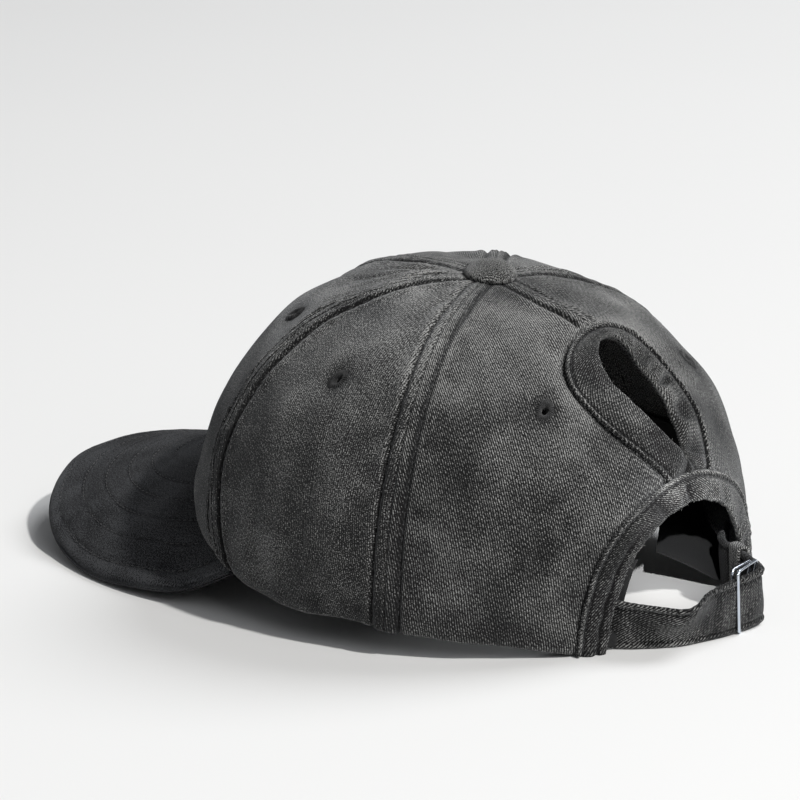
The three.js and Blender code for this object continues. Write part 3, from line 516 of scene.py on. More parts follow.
class Finish:
    def __init__(self, name):
        self.material = bpy.data.materials.new(name)
        self.material.use_nodes = True
        self.tree = self.material.node_tree
        self.tree.nodes.clear()

    def node(self, kind, **settings):
        made = self.tree.nodes.new(kind)
        for key, value in settings.items():
            setattr(made, key, value)
        return made

    def put(self, socket, value):
        if isinstance(value, bpy.types.NodeSocket):
            self.tree.links.new(value, socket)
        else:
            socket.default_value = value

    def math(self, operation, *values, clamp=False):
        made = self.node("ShaderNodeMath", operation=operation, use_clamp=clamp)
        for socket, value in zip(made.inputs, values):
            self.put(socket, value)
        return made.outputs[0]

    # Smallest waves: one over the scale, in the unit of the vector
    def noise(self, vector, scale, detail, rough=0.5):
        stretched = self.node("ShaderNodeMapping")
        self.put(stretched.inputs["Vector"], vector)
        stretched.inputs["Scale"].default_value = scale
        made = self.node("ShaderNodeTexNoise", noise_dimensions="3D")
        self.put(made.inputs["Vector"], stretched.outputs[0])
        made.inputs["Scale"].default_value = 1.0
        made.inputs["Detail"].default_value = detail
        made.inputs["Roughness"].default_value = rough
        return made.outputs["Fac"]

    # Adds a pattern to a value, as much above its middle as below
    def swing(self, pattern, amount, value, clamp=False):
        centred = self.math("SUBTRACT", pattern, 0.5)
        return self.math("MULTIPLY_ADD", centred, amount, value, clamp=clamp)

    # Even ripple between 0 and 1, one for every whole step of the phase
    def ripple(self, phase):
        cosine = self.math("COSINE", self.math("MULTIPLY", phase, 2 * math.pi))
        return self.math("MULTIPLY_ADD", cosine, 0.5, 0.5)

    def place(self):
        return self.node("ShaderNodeTexCoord").outputs["Object"]

    def attribute(self, name):
        return self.node("ShaderNodeAttribute", attribute_name=name, attribute_type="GEOMETRY")

    def mixed(self, factor, dark, light):
        made = self.node("ShaderNodeMix", data_type="RGBA")
        self.put(made.inputs[0], factor)
        self.put(made.inputs[6], dark)
        self.put(made.inputs[7], light)
        return made.outputs[2]

    def surface(self, colour, height, bump_depth, bump_strength, **sockets):
        shader = self.node("ShaderNodeBsdfPrincipled")
        self.put(shader.inputs["Base Color"], colour)
        for key, value in sockets.items():
            self.put(shader.inputs[key.replace("_", " ").title().replace("Ior", "IOR")], value)
        if height is not None:
            bump = self.node("ShaderNodeBump")
            bump.inputs["Distance"].default_value = bump_depth * METRES
            bump.inputs["Strength"].default_value = bump_strength
            self.put(bump.inputs["Height"], height)
            self.put(shader.inputs["Normal"], bump.outputs[0])
        out = self.node("ShaderNodeOutputMaterial")
        self.put(out.inputs["Surface"], shader.outputs[0])
        return shader


RIB_PITCH = 0.78
FLOAT_LENGTH = 1.8


# Washed twill: slanting ribs broken into short floats, salt-and-pepper fading, rubbed edges, and the painted
# light and shade held in the wear attribute
def twill(name, dark, light, contrast, mottle, bump_strength, sheen):
    f = Finish(name)
    split = f.node("ShaderNodeSeparateXYZ")
    f.put(split.inputs[0], f.attribute("weave").outputs["Vector"])
    across, along, speckle = split.outputs
    flat = f.node("ShaderNodeCombineXYZ")
    f.put(flat.inputs[0], across)
    f.put(flat.inputs[1], along)
    cloth = flat.outputs[0]
    drift = f.noise(cloth, (0.16, 0.07, 1), 2)
    phase = f.math("ADD", f.math("DIVIDE", across, RIB_PITCH), f.math("MULTIPLY", drift, 1.4))
    rib = f.ripple(phase)
    chance = f.node("ShaderNodeTexWhiteNoise", noise_dimensions="1D")
    f.put(chance.inputs["W"], f.math("FLOOR", f.math("ADD", phase, 0.5)))
    shift = f.math("MULTIPLY_ADD", chance.outputs["Value"], 0.4, f.math("MULTIPLY", phase, 0.42))
    float_end = f.ripple(f.math("ADD", f.math("DIVIDE", along, FLOAT_LENGTH), shift))
    fibre = f.noise(cloth, (1.55, 0.9, 1), 2.0, 0.6)
    grain = f.noise(cloth, (2.3, 2.3, 1), 1.0, 0.6)
    thread = f.math("MULTIPLY", rib, f.math("MULTIPLY_ADD", float_end, 0.42, 0.58))
    even = f.math("MULTIPLY_ADD", speckle, -0.66, 1.0)
    rough = f.math("MULTIPLY_ADD", speckle, 1.3, 0.9)
    value = f.math("MULTIPLY", f.math("MULTIPLY", f.math("SUBTRACT", thread, 0.36), even), contrast)
    value = f.swing(fibre, 1.25 * contrast, value)
    spots = f.math("MULTIPLY", f.math("SUBTRACT", grain, 0.5), rough)
    value = f.math("MULTIPLY_ADD", spots, 2.3 * contrast, value)
    wear = f.attribute("wear").outputs["Fac"]
    # Rubbed edges with painted light and shade, from the wear attribute
    value = f.math("MULTIPLY_ADD", wear, 0.34, value)
    cloud = f.noise(f.place(), (42, 42, 42), 4, 0.6)
    value = f.swing(cloud, mottle, value)
    value = f.math("ADD", value, 0.37, clamp=True)
    value = f.math("POWER", value, 1.8)
    colour = f.mixed(value, dark, light)
    height = f.math("MULTIPLY_ADD", thread, even, f.math("MULTIPLY", fibre, 0.5))
    height = f.math("MULTIPLY_ADD", grain, f.math("MULTIPLY", speckle, 0.35), height)
    f.surface(
        colour, height, 0.22, bump_strength, roughness=0.95, sheen_weight=sheen, sheen_roughness=0.5,
        sheen_tint=(0.95, 0.97, 1.0, 1), specular_ior_level=0.15,
    )
    return f.material


def thread_finish(name, dark, light):
    f = Finish(name)
    strand = f.noise(f.place(), (2600, 2600, 2600), 1.5)
    colour = f.mixed(f.swing(strand, 2.2, 0.5, clamp=True), dark, light)
    f.surface(colour, strand, 0.12, 0.6, roughness=0.8, sheen_weight=0.15)
    return f.material


def lining_finish():
    f = Finish("sweatband_cotton")
    threads = f.attribute("weave").outputs["Vector"]
    fine = f.noise(threads, (2.4, 2.4, 1), 2)
    streak = f.noise(threads, (0.4, 2.2, 1), 1.5)
    # Paler edges and painted shade in the stitched groove, from the wear attribute
    wear = f.attribute("wear").outputs["Fac"]
    value = f.swing(streak, 0.7, f.swing(fine, 1.3, 0.4))
    value = f.math("ADD", value, f.math("MULTIPLY", wear, 0.4), clamp=True)
    # Near-black, partly painted shade for the inside of the cap
    colour = f.mixed(value, (0.003, 0.003, 0.0035, 1), (0.018, 0.0185, 0.02, 1))
    f.surface(colour, fine, 0.15, 0.5, roughness=0.9, sheen_weight=0.03)
    return f.material


def board_finish():
    f = Finish("peak_board_sheet")
    fleck = f.noise(f.place(), (700, 700, 700), 3)
    colour = f.mixed(fleck, (0.5, 0.5, 0.48, 1), (0.75, 0.75, 0.73, 1))
    f.surface(colour, fleck, 0.1, 0.3, roughness=0.55)
    return f.material


def wire_finish():
    f = Finish("drawn_steel_wire")
    scratch = f.noise(f.place(), (1500, 1500, 260), 2)
    colour = f.mixed(scratch, (0.42, 0.47, 0.55, 1), (0.72, 0.76, 0.82, 1))
    rough = f.math("MULTIPLY_ADD", scratch, 0.22, 0.12)
    f.surface(colour, scratch, 0.03, 0.3, metallic=1.0, roughness=rough)
    return f.material


def floor_finish():
    f = Finish("pale_table")
    tone = f.noise(f.place(), (1.4, 1.4, 1.4), 2)
    colour = f.mixed(tone, (0.77, 0.77, 0.77, 1), (0.81, 0.81, 0.805, 1))
    f.surface(colour, None, 0, 0, roughness=0.7)
    return f.material


WASHED_BLACK = (0.004, 0.004, 0.0042, 1)
crown_twill = twill(
    "washed_black_twill", WASHED_BLACK, (0.315, 0.315, 0.308, 1),
    contrast=1.0, mottle=1.5, bump_strength=1.0, sheen=0.18,
)
worn_twill = twill(
    "rubbed_black_twill", WASHED_BLACK, (0.30, 0.30, 0.293, 1),
    contrast=1.0, mottle=1.6, bump_strength=1.0, sheen=0.12,
)
peak_twill = twill(
    "peak_black_twill", (0.004, 0.004, 0.0052, 1), (0.058, 0.06, 0.064, 1),
    contrast=1.4, mottle=2.2, bump_strength=0.6, sheen=0.04,
)
seam_thread = thread_finish("seam_thread", (0.006, 0.006, 0.007, 1), (0.045, 0.046, 0.048, 1))
eyelet_thread = thread_finish("eyelet_thread", (0.002, 0.002, 0.0023, 1), (0.022, 0.0225, 0.0235, 1))
lint_thread = thread_finish("frayed_thread", (0.05, 0.05, 0.05, 1), (0.32, 0.32, 0.31, 1))
band_cotton = lining_finish()
board_sheet = board_finish()
steel_wire = wire_finish()


# Repeated and path-following pieces, made by node trees


def new_tree(name, sockets):
    tree = bpy.data.node_groups.new(name, "GeometryNodeTree")
    for label, kind in sockets:
        tree.interface.new_socket(label, in_out="INPUT", socket_type=kind)
    tree.interface.new_socket("Geometry", in_out="OUTPUT", socket_type="NodeSocketGeometry")
    return tree, tree.nodes.new("NodeGroupInput"), tree.nodes.new("NodeGroupOutput")


# Inputs are given by label, as values or as the sockets they are linked from
def set_inputs(tree, node, inputs):
    for label, value in inputs.items():
        if isinstance(value, bpy.types.NodeSocket):
            tree.links.new(value, node.inputs[label])
        else:
            node.inputs[label].default_value = value


def add_node(tree, kind, inputs, **options):
    node = tree.nodes.new(kind)
    for key, value in options.items():
        setattr(node, key, value)
    set_inputs(tree, node, inputs)
    return node


def finish_tree(tree, given, end, geometry):
    realize = add_node(tree, "GeometryNodeRealizeInstances", {"Geometry": geometry})
    shade = add_node(tree, "GeometryNodeSetShadeSmooth", {"Geometry": realize.outputs["Geometry"]})
    finish = add_node(tree, "GeometryNodeSetMaterial", {
        "Geometry": shade.outputs["Geometry"], "Material": given.outputs["Finish"],
    })
    tree.links.new(finish.outputs["Geometry"], end.inputs["Geometry"])
    return tree


# Round tube along a curve, closed at its ends
def tube_along(tree, curve, radius, sides):
    section = add_node(tree, "GeometryNodeCurvePrimitiveCircle", {"Resolution": sides, "Radius": radius})
    tube = add_node(tree, "GeometryNodeCurveToMesh", {
        "Curve": curve, "Profile Curve": section.outputs["Curve"], "Fill Caps": True,
    })
    return tube.outputs["Mesh"]


# One short thread on every point, lying along the seam and standing off the cloth
def stitch_tree():
    tree, given, end = new_tree("sewn_stitches", [
        ("Stitch places", "NodeSocketGeometry"), ("Stitch length", "NodeSocketFloat"),
        ("Thread radius", "NodeSocketFloat"), ("Finish", "NodeSocketMaterial"),
    ])
    bead = add_node(tree, "GeometryNodeMeshUVSphere", {"Segments": 7, "Rings": 5, "Radius": 1.0})
    radius = given.outputs["Thread radius"]
    half = add_node(tree, "ShaderNodeMath", {0: given.outputs["Stitch length"], 1: 0.5}, operation="MULTIPLY")
    size = add_node(tree, "ShaderNodeCombineXYZ", {0: half.outputs[0], 1: radius, 2: radius})
    kind = "GeometryNodeInputNamedAttribute"
    along = add_node(tree, kind, {"Name": "along"}, data_type="FLOAT_VECTOR")
    outward = add_node(tree, kind, {"Name": "outward"}, data_type="FLOAT_VECTOR")
    kind = "FunctionNodeAlignRotationToVector"
    lean = add_node(tree, kind, {"Vector": along.outputs["Attribute"]}, axis="X")
    stand = add_node(tree, kind, {
        "Rotation": lean.outputs["Rotation"], "Vector": outward.outputs["Attribute"],
    }, axis="Z", pivot_axis="X")
    place = add_node(tree, "GeometryNodeInstanceOnPoints", {
        "Points": given.outputs["Stitch places"], "Instance": bead.outputs["Mesh"],
        "Rotation": stand.outputs["Rotation"], "Scale": size.outputs[0],
    })
    return finish_tree(tree, given, end, place.outputs["Instances"])


# Threads laid over the edge of a sewn eyelet, side by side all the way round
def eyelet_tree():
    tree, given, end = new_tree("eyelet_overcast", [
        ("Ring", "NodeSocketGeometry"), ("Hole radius", "NodeSocketFloat"),
        ("Outer radius", "NodeSocketFloat"), ("Thread radius", "NodeSocketFloat"),
        ("Threads", "NodeSocketInt"), ("Finish", "NodeSocketMaterial"),
    ])
    ring = add_node(tree, "GeometryNodeMeshCircle", {"Vertices": given.outputs["Threads"], "Radius": 0.0001})
    arch = {"Resolution": 6}
    for label, across, height in (
        ("Start", given.outputs["Hole radius"], -0.0009),
        ("Middle", 0.0022, 0.0019),
        ("End", given.outputs["Outer radius"], -0.0004),
    ):
        arch[label] = add_node(tree, "ShaderNodeCombineXYZ", {0: across, 2: height}).outputs[0]
    arc = add_node(tree, "GeometryNodeCurveQuadraticBezier", arch)
    tube = tube_along(tree, arc.outputs["Curve"], given.outputs["Thread radius"], 5)
    where = tree.nodes.new("GeometryNodeInputPosition")
    face = add_node(tree, "FunctionNodeAlignRotationToVector", {
        "Vector": where.outputs[0],
    }, axis="X", pivot_axis="Z")
    place = add_node(tree, "GeometryNodeInstanceOnPoints", {
        "Points": ring.outputs["Mesh"], "Instance": tube, "Rotation": face.outputs["Rotation"],
    })
    return finish_tree(tree, given, end, place.outputs["Instances"])


# Round wire bent along a line of corners
def wire_tree():
    tree, given, end = new_tree("bent_wire", [
        ("Corners", "NodeSocketGeometry"), ("Wire radius", "NodeSocketFloat"),
        ("Bend radius", "NodeSocketFloat"), ("Finish", "NodeSocketMaterial"),
    ])
    curve = add_node(tree, "GeometryNodeMeshToCurve", {"Mesh": given.outputs["Corners"]})
    bend = tree.nodes.new("GeometryNodeFilletCurve")
    if hasattr(bend, "mode"):
        bend.mode = "POLY"
    set_inputs(tree, bend, {
        "Count": 7, "Limit Radius": True, "Radius": given.outputs["Bend radius"],
        "Curve": curve.outputs["Curve"],
    })
    tube = tube_along(tree, bend.outputs["Curve"], given.outputs["Wire radius"], 14)
    return finish_tree(tree, given, end, tube)


STITCHES = stitch_tree()
OVERCAST = eyelet_tree()
BENT_WIRE = wire_tree()


# Plain mesh that a node tree makes from a helper mesh
def grown(name, helper, tree, **values):
    obj = bpy.data.objects.new(name + "_helper", helper)
    bpy.context.scene.collection.objects.link(obj)
    modifier = obj.modifiers.new("grow", "NODES")
    modifier.node_group = tree
    for item in tree.interface.items_tree:
        key = item.name.replace(" ", "_").lower()
        if item.in_out == "INPUT" and key in values:
            modifier[item.identifier] = values[key]
    bpy.context.view_layer.update()
    ready = obj.evaluated_get(bpy.context.evaluated_depsgraph_get())
    mesh = bpy.data.meshes.new_from_object(ready)
    mesh.name = name
    obj.modifiers.remove(modifier)
    bpy.data.objects.remove(obj)
    result = bpy.data.objects.new(name, mesh)
    bpy.context.scene.collection.objects.link(result)
    return result


def dressed(piece, slot, *nodes):
    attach(piece, "root")
    if nodes:
        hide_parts(*nodes)
    return piece


# Points at distances along a line
def along_line(at, run, points):
    return np.stack([np.interp(at, run, points[:, k]) for k in range(points.shape[1])], 1)


# One thread at every spot, with its own direction along the cloth and away from it
def lay_threads(name, spots, along, outward, length, radius, finish):
    helper = bpy.data.meshes.new(name + "_places")
    helper.vertices.add(len(spots))
    helper.vertices.foreach_set("co", ((spots + np.array([0, ORIGIN_Y, 0])) * METRES).ravel())
    for label, values in (("along", along), ("outward", outward)):
        attribute = helper.attributes.new(label, "FLOAT_VECTOR", "POINT")
        attribute.data.foreach_set("vector", values.ravel())
    piece = grown(
        name, helper, STITCHES, stitch_length=length * METRES, thread_radius=radius * METRES, finish=finish,
    )
    return dressed(piece, "thread")


# Stitches along lines of points; each line comes with the outward direction at its points
def sew(name, lines, pitch, length, radius, finish, seed):
    rng = np.random.default_rng(seed)
    spots = []
    along = []
    outward = []
    for points, normals in lines:
        run = lengths(points)
        if run[-1] < 2 * pitch:
            continue
        at = np.arange(pitch * 0.5, run[-1], pitch)
        at = at + rng.uniform(-0.06, 0.06, len(at)) * pitch
        spot = along_line(at, run, points)
        spots.append(spot)
        ahead = along_line(at + 0.4, run, points) - along_line(at - 0.4, run, points)
        tilt = rng.normal(size=spot.shape) * 0.05
        along.append(unit(unit(ahead) + tilt))
        outward.append(unit(along_line(at, run, normals)))
    spots, along, outward = (np.concatenate(rows) for rows in (spots, along, outward))
    return lay_threads(name, spots, along, outward, length, radius, finish)


# Crown


def seam_front(t):
    k = np.clip(1 - t / SEAM_FRONT_TURN, 0, 1)
    return np.radians(SEAM_FRONT + (SEAM_FRONT_RIM - SEAM_FRONT) * k ** 1.5)


def seam_back(t):
    return np.full(np.shape(t), rad(SEAM_BACK))


def middle_front(t):
    return np.zeros(np.shape(t))


def middle_back(t):
    return np.full(np.shape(t), math.pi)


SEAMS = {1: middle_front, 2: seam_front, 3: seam_back, 4: middle_back}
# Gores: name, the seams on its two sides, and how far the weave is turned
GORES = [("front", 1, 2, 18), ("side", 2, 3, 6), ("back", 3, 4, 9)]
# Painted shade for each gore towards its bottom, strongest on the side gores that the low sun reaches least
GORE_PAINTED_SHADE = {"front": 0.10, "side": 0.52, "back": 0.24}
GORE_SPECKLE = {"front": 0.4, "side": 0.55, "back": 0.0}
# Columns beside a seam, as shares of the raised band's width
BAND_STOPS = np.array([
    0, 0.03, 0.07, 0.11, 0.16, 0.22, 0.28, 0.36, 0.44, 0.52, 0.60, 0.68, 0.75, 0.80, 0.84, 0.88, 0.92, 0.95,
    0.98, 1.0, 1.02, 1.05, 1.08, 1.12, 1.16, 1.21, 1.27, 1.35, 1.45, 1.57, 1.70,
])
STITCH_SINK = 0.85
SEAM_RAISE = 0.95


def band_width(t, width):
    return np.minimum(SEAM_BAND_RIM + (SEAM_BAND_TOP - SEAM_BAND_RIM) * np.clip(t, 0, 1), width * 0.28)


def seam_seed(key):
    return 100 + key * 10


# Seams lie flatter where they meet under the button
def seam_ease(t):
    return 1 - 0.68 * smooth((t - 0.80) / 0.18)


# Raised double fold of a seam, with a groove at the join and one under each row of stitches
def seam_relief(d, band, along, seed):
    tug = waves_along(along, 5.2, seed)
    slow = waves_along(along, 21, seed + 1)
    within = np.sin(math.pi * np.clip(d / band, 0, 1))
    plateau = SEAM_RAISE * smooth((band + 0.6 - d) / 1.1)
    join = -0.30 * hump(d / 0.30) + 0.16 * hump((d - 0.95) / 0.5)
    sink = -STITCH_SINK * (1 + 0.14 * tug) * hump((d - band) / 0.80)
    puff = (0.46 + 0.10 * tug + 0.14 * slow) * hump((d - band - 2.4) / 1.6)
    folds = 0.11 * np.sin(d * 3.3 + 1.6 * slow) * within
    skew = waves_along(along + 0.9 * d, 8.0, seed + 2)
    return plateau + join + sink + puff + folds + 0.07 * skew * within


# Rubbed, paler ridges of a seam, with painted shade in the join and under each row of stitches, and a broad
# painted shade beside the seam
def seam_wear_and_shade(d, band, along, seed):
    patch = 0.75 + 0.35 * waves_along(along, 9, seed + 3)
    light = 0.50 * hump((d - 0.95) / 0.45) + 0.30 * hump((d - band + 1.5) / 0.5)
    light = light + 0.50 * hump((d - band - 1.7) / 0.8)
    dark = 0.45 * hump(d / 0.30) + 1.5 * hump((d - band) / 0.85)
    dark = dark + 0.28 * smooth((band - d) / 1.0) + 0.34 * patch * hump((d - band - 3.2) / 7)
    return light * patch - dark


BELOW_RIM = -9.0


# The half-moon's line, closed below the rim
def with_feet(line):
    return np.concatenate([line, [(line[-1, 0], BELOW_RIM), (line[0, 0], BELOW_RIM)]])


# The panels are cut under the bindings
ARCH_REGION = with_feet(arch_out)
ARCH_TRIM = with_feet(arch_out * 0.62 + arch_in * 0.38)
SLOT_TRIM = slot_out * 0.60 + slot_in * 0.40


# Painted light and shade by height: the top is painted lighter and the lower sides darker, standing in for
# how the light falls
def painted_height_light(points):
    return -0.52 + 0.78 * smooth((points[..., 2] - 54) / 48) - 0.24 * smooth((38 - points[..., 2]) / 38)


def edge_rounding(distance, thick):
    r = thick / 2
    u = np.clip(1 - distance / r, 0, 1)
    return r * np.sqrt(np.maximum(0, 1 - u * u)) * 0.86 + r * 0.14


EYELET_CUT = EYELET_RADIUS - 1.5
FAR = 99.0


def make_gore(name, key_a, key_b, weave_turn, side):
    tag = "left" if side > 0 else "right"
    rows = np.concatenate([[0, 0.0006, 0.0018, 0.0034, 0.0055, 0.0085], np.linspace(0.0125, 1.014, 178)])
    share = 0.5 - 0.5 * np.cos(np.linspace(0, 1, 81) * math.pi)
    a, b = SEAMS[key_a](rows), SEAMS[key_b](rows)
    sample = crown(a[:, None] + (b - a)[:, None] * share[None], rows[:, None])
    run = lengths(np.swapaxes(sample, 0, 1)).T
    width = run[:, -1]
    band = band_width(rows, width)
    near = BAND_STOPS[None] * band[:, None]
    near[:, 0] = 0.0
    start = near[:, -1]
    mid = np.linspace(0, 1, 80)[1:-1]
    middle = start[:, None] + (width - 2 * start)[:, None] * mid[None]
    d = np.concatenate([near, middle, width[:, None] - near[:, ::-1]], 1)
    th = np.stack([a[i] + (b[i] - a[i]) * np.interp(d[i], run[i], share) for i in range(len(rows))])
    th = side * th
    t = np.repeat(rows[:, None], th.shape[1], 1)
    keep = np.ones((th.shape[0] - 1, th.shape[1] - 1), bool)
    angle, height = EYELETS[name]
    spot = np.array([side * rad(angle), height])
    metric = np.array([
        np.linalg.norm(crown(spot[0] + 0.01, height) - crown(spot[0], height)) / 0.01,
        np.linalg.norm(crown(spot[0], height + 0.01) - crown(spot[0], height)) / 0.01,
    ])
    keep, th, t = cut_round(keep, th, t, spot, metric, EYELET_CUT)
    gap = np.full(th.shape, FAR)
    arch_gap = slot_gap = gap
    if name == "back":
        flat = np.stack([back_across(th, t), t * BACK_LENGTH], -1)
        for outline in (ARCH_TRIM, SLOT_TRIM):
            keep, flat = cut_outline(keep, flat, outline)
        t = np.clip(flat[..., 1] / BACK_LENGTH, 0, TOP_SHARE)
        moved = np.abs(flat[..., 0] - back_across(th, t)) > 1e-4
        th = np.where(moved, back_angle(flat[..., 0], t), th)
        arch_gap = to_line(flat, arch_out[::4])[0] * np.where(inside_outline(flat, ARCH_REGION), -1, 1)
        slot_gap = to_line(flat, slot_out[::4], True)[0] * np.where(inside_outline(flat, slot_out), -1, 1)
        gap = np.minimum(arch_gap, slot_gap)
    along = t * meridian_length(th)
    da = d
    db = width[:, None] - d
    half = width[:, None] / 2
    ease = seam_ease(t)
    fade = smooth(gap / 5.0)
    bandg = band[:, None]
    relief = seam_relief(da, bandg, along, seam_seed(key_a)) * (da < half)
    relief = relief + seam_relief(db, bandg, along, seam_seed(key_b)) * (db <= half)
    relief = relief * ease * fade
    relief = relief - 0.5 * hump((arch_gap - 0.15) / 0.75) * (arch_gap > -1.5)
    relief = relief - 1.15 * hump((slot_gap - 0.25) / 0.75) * (slot_gap > -1.5)
    rim = along
    rounding = edge_rounding(rim, PANEL_THICK) - PANEL_THICK / 2
    top_in = np.where(rim < 3, np.minimum(0, rounding), 0)
    hem = 0.28 * smooth(rim / 1.2) * smooth((6.5 - rim) / 2.4)
    wave = drape(th, t)
    seam_near = np.minimum(da, db)
    tape = 0.45 * smooth((bandg + 0.9 - seam_near) / 0.5) * fade * ease
    base = crown(th, t)
    normal = crown_normal(th, t)
    outer = base + normal * (wave + relief + top_in + hem)[..., None]
    inner = base + normal * (wave - PANEL_THICK - tape - top_in)[..., None]
    wear = seam_wear_and_shade(da, bandg, along, seam_seed(key_a)) + seam_wear_and_shade(db, bandg, along, seam_seed(key_b))
    wear = wear * fade
    wear = wear + 0.6 * hump((rim - 0.3) / 1.0) - 0.25 * hump((rim - 6.8) / 0.9)
    # Painted shadow: a dark line just outside the edges of the bindings, with a paler band a little further
    # out
    wear = wear - 0.9 * hump((slot_gap - 0.3) / 0.7) - 0.75 * hump((arch_gap - 0.2) / 0.6)
    wear = wear + 0.22 * hump((slot_gap - 2.4) / 1.2) + 0.2 * hump((arch_gap - 1.9) / 1.0)
    eyelet_gap = np.linalg.norm(base - crown(spot[0], height), axis=-1)
    # Painted shade of the hole round each eyelet, and painted light and shade by height
    wear = wear - 1.9 * hump(eyelet_gap / 5.0) + painted_height_light(base)
    # Painted shade: each gore darker towards the bottom, the side gores most
    wear = wear - GORE_PAINTED_SHADE[name] * smooth((88 - base[..., 2]) / 36)
    # Painted shade in the drape's dents and painted light on its swells
    wear = wear - 0.35 * np.clip(-wave - 0.4, 0, 1) + 0.30 * np.clip(wave - 0.35, 0, 1)
    weave = turned(da - half, along, weave_turn)
    if side < 0:
        outer, inner, keep = outer[:, ::-1], inner[:, ::-1], keep[:, ::-1]
        wear, weave = wear[:, ::-1], weave[:, ::-1]
    piece = cloth_shell(
        f"crown_{name}_{tag}_cloth", outer, inner, crown_twill, weave, wear, wear * 0 - 0.4, keep,
        GORE_SPECKLE[name],
    )
    return dressed(piece, "twill", f"panel_{name}_{tag}")


def cell_middles(grid):
    return 0.25 * (grid[:-1, :-1] + grid[1:, :-1] + grid[:-1, 1:] + grid[1:, 1:])


# Grid points that touch both a kept cell and one that is cut out
def border_points(keep):
    padded = np.pad(keep, 1)
    cut = np.pad(np.ones_like(keep), 1) & ~padded
    rows, cols = keep.shape
    some = np.zeros((rows + 1, cols + 1), bool)
    gone = np.zeros((rows + 1, cols + 1), bool)
    for i, j in ((0, 0), (0, 1), (1, 0), (1, 1)):
        some |= padded[i:i + rows + 1, j:j + cols + 1]
        gone |= cut[i:i + rows + 1, j:j + cols + 1]
    return some & gone


def cut_round(keep, th, t, spot, metric, radius):
    local = np.stack([wrap(th - spot[0]) * metric[0], (t - spot[1]) * metric[1]], -1)
    away = np.linalg.norm(cell_middles(local), axis=-1) > radius
    edge = border_points(away)
    r = np.maximum(np.linalg.norm(local, axis=-1), 1e-6)
    snapped = local * (radius / r)[..., None]
    th = np.where(edge, spot[0] + snapped[..., 0] / metric[0], th)
    t = np.where(edge, spot[1] + snapped[..., 1] / metric[1], t)
    return keep & away, th, t


def cut_outline(keep, flat, outline):
    away = ~inside_outline(cell_middles(flat), outline)
    edge = border_points(away) & (flat[..., 1] > 0.9)
    foot = to_line(flat, outline, True)[1]
    close = np.linalg.norm(foot - flat, axis=-1) < 2.2
    low = border_points(away) & (flat[..., 1] <= 0.9) & close
    flat = np.where((edge & close)[..., None], foot, flat)
    flat[..., 0] = np.where(low, foot[..., 0], flat[..., 0])
    return keep & away, flat


for gore in GORES:
    for side in (1, -1):
        make_gore(*gore, side)


# A row of topstitches beside a seam, as points and outward directions
def seam_row(key, side, hand, first, last):
    t = np.linspace(first, last, 260)
    seam = SEAMS[key](t) * side
    metric = np.linalg.norm(crown(seam + 0.01, t) - crown(seam - 0.01, t), axis=-1) / 0.02
    band = band_width(t, metric * rad(50))
    th = seam + hand * band / metric
    along = t * meridian_length(th)
    relief = seam_relief(band, band, along, seam_seed(key)) * seam_ease(t)
    return on_crown(th, t, relief - 0.03), crown_normal(th, t)


crown_rows = [
    seam_row(1, 1, 1, 0.03, 0.95), seam_row(1, 1, -1, 0.03, 0.95),
    seam_row(4, 1, 1, 0.775, 0.95), seam_row(4, 1, -1, 0.775, 0.95),
]
for side in (1, -1):
    for key in (2, 3):
        for hand in (1, -1):
            crown_rows.append(seam_row(key, side, hand, 0.02, 0.95))
sew("crown_topstitch", crown_rows, 2.75, 2.1, 0.14, seam_thread, 5)


# Button


def make_button():
    around = 128
    top = dome(0.0, 1.0)
    angle = np.linspace(0, 2 * math.pi, around, endpoint=False)
    rise = np.linspace(0.04, 1, 34) ** 0.8
    table_s = np.linspace(0.55, 1, 400)
    skirt = []
    for a in angle:
        line = dome(a, table_s)
        out = np.linalg.norm(line[:, :2] - top[:2], axis=1)
        skirt.append(np.interp(BUTTON_RADIUS * rise, out[::-1], line[::-1, 2]))
    skirt = np.array(skirt).T
    r = BUTTON_RADIUS * rise[:, None] * np.ones(around)
    gather = 0.10 * np.sin(angle * 19 + 1.3 * np.sin(angle * 3)) * smooth((rise[:, None] - 0.62) / 0.3)
    f = rise[:, None]
    base = skirt + 0.45
    high = base * f ** 2 + (1 - f ** 2) * (top[2] + 1.2)
    high = high + BUTTON_HEIGHT * np.sqrt(np.maximum(1 - 0.94 * f ** 2.3, 0)) * (1 - 0.12 * f) - 0.25
    x = top[0] + r * np.sin(angle)
    y = top[1] - r * np.cos(angle)
    cap = np.stack([x, y, high + gather], -1)
    cap[..., 2] += 0.12 * soft_waves(cap, 7, 77)
    under = np.stack([top[0] + 0.97 * r * np.sin(angle), top[1] - 0.97 * r * np.cos(angle), base - 0.2], -1)
    rings = np.concatenate([cap, under[::-1]])
    idx = np.arange(len(rings) * around).reshape(len(rings), around)
    faces = [ring_quads(idx[:-1], idx[1:]), idx[:1], idx[-1:, ::-1]]
    weave = turned(rings[..., 0], rings[..., 1], 38).reshape(-1, 2) * 1.7
    # Top rubbed paler towards its edge; the underside painted dark as shade
    wear = np.concatenate([0.12 + 0.25 * f * np.ones(around), np.full((len(rise), around), -0.6)])
    piece = mesh_object("crown_button_cloth", rings.reshape(-1, 3), faces, worn_twill, weave, wear, 0.6)
    return dressed(piece, "worn_twill", "crown_button")


make_button()


# Sewn eyelets


def joined(name, parts, material):
    verts = []
    faces = []
    start = 0
    for v, f in parts:
        verts.append(v)
        faces.extend([np.asarray(k) + start for k in f])
        start += len(v)
    return mesh_object(name, np.concatenate(verts), faces, material)


def mesh_arrays(obj):
    mesh = obj.data
    co = np.zeros(len(mesh.vertices) * 3)
    mesh.vertices.foreach_get("co", co)
    groups = {}
    for p in mesh.polygons:
        groups.setdefault(len(p.vertices), []).append(tuple(p.vertices))
    return co.reshape(-1, 3) / METRES, [np.array(v) for v in groups.values()]


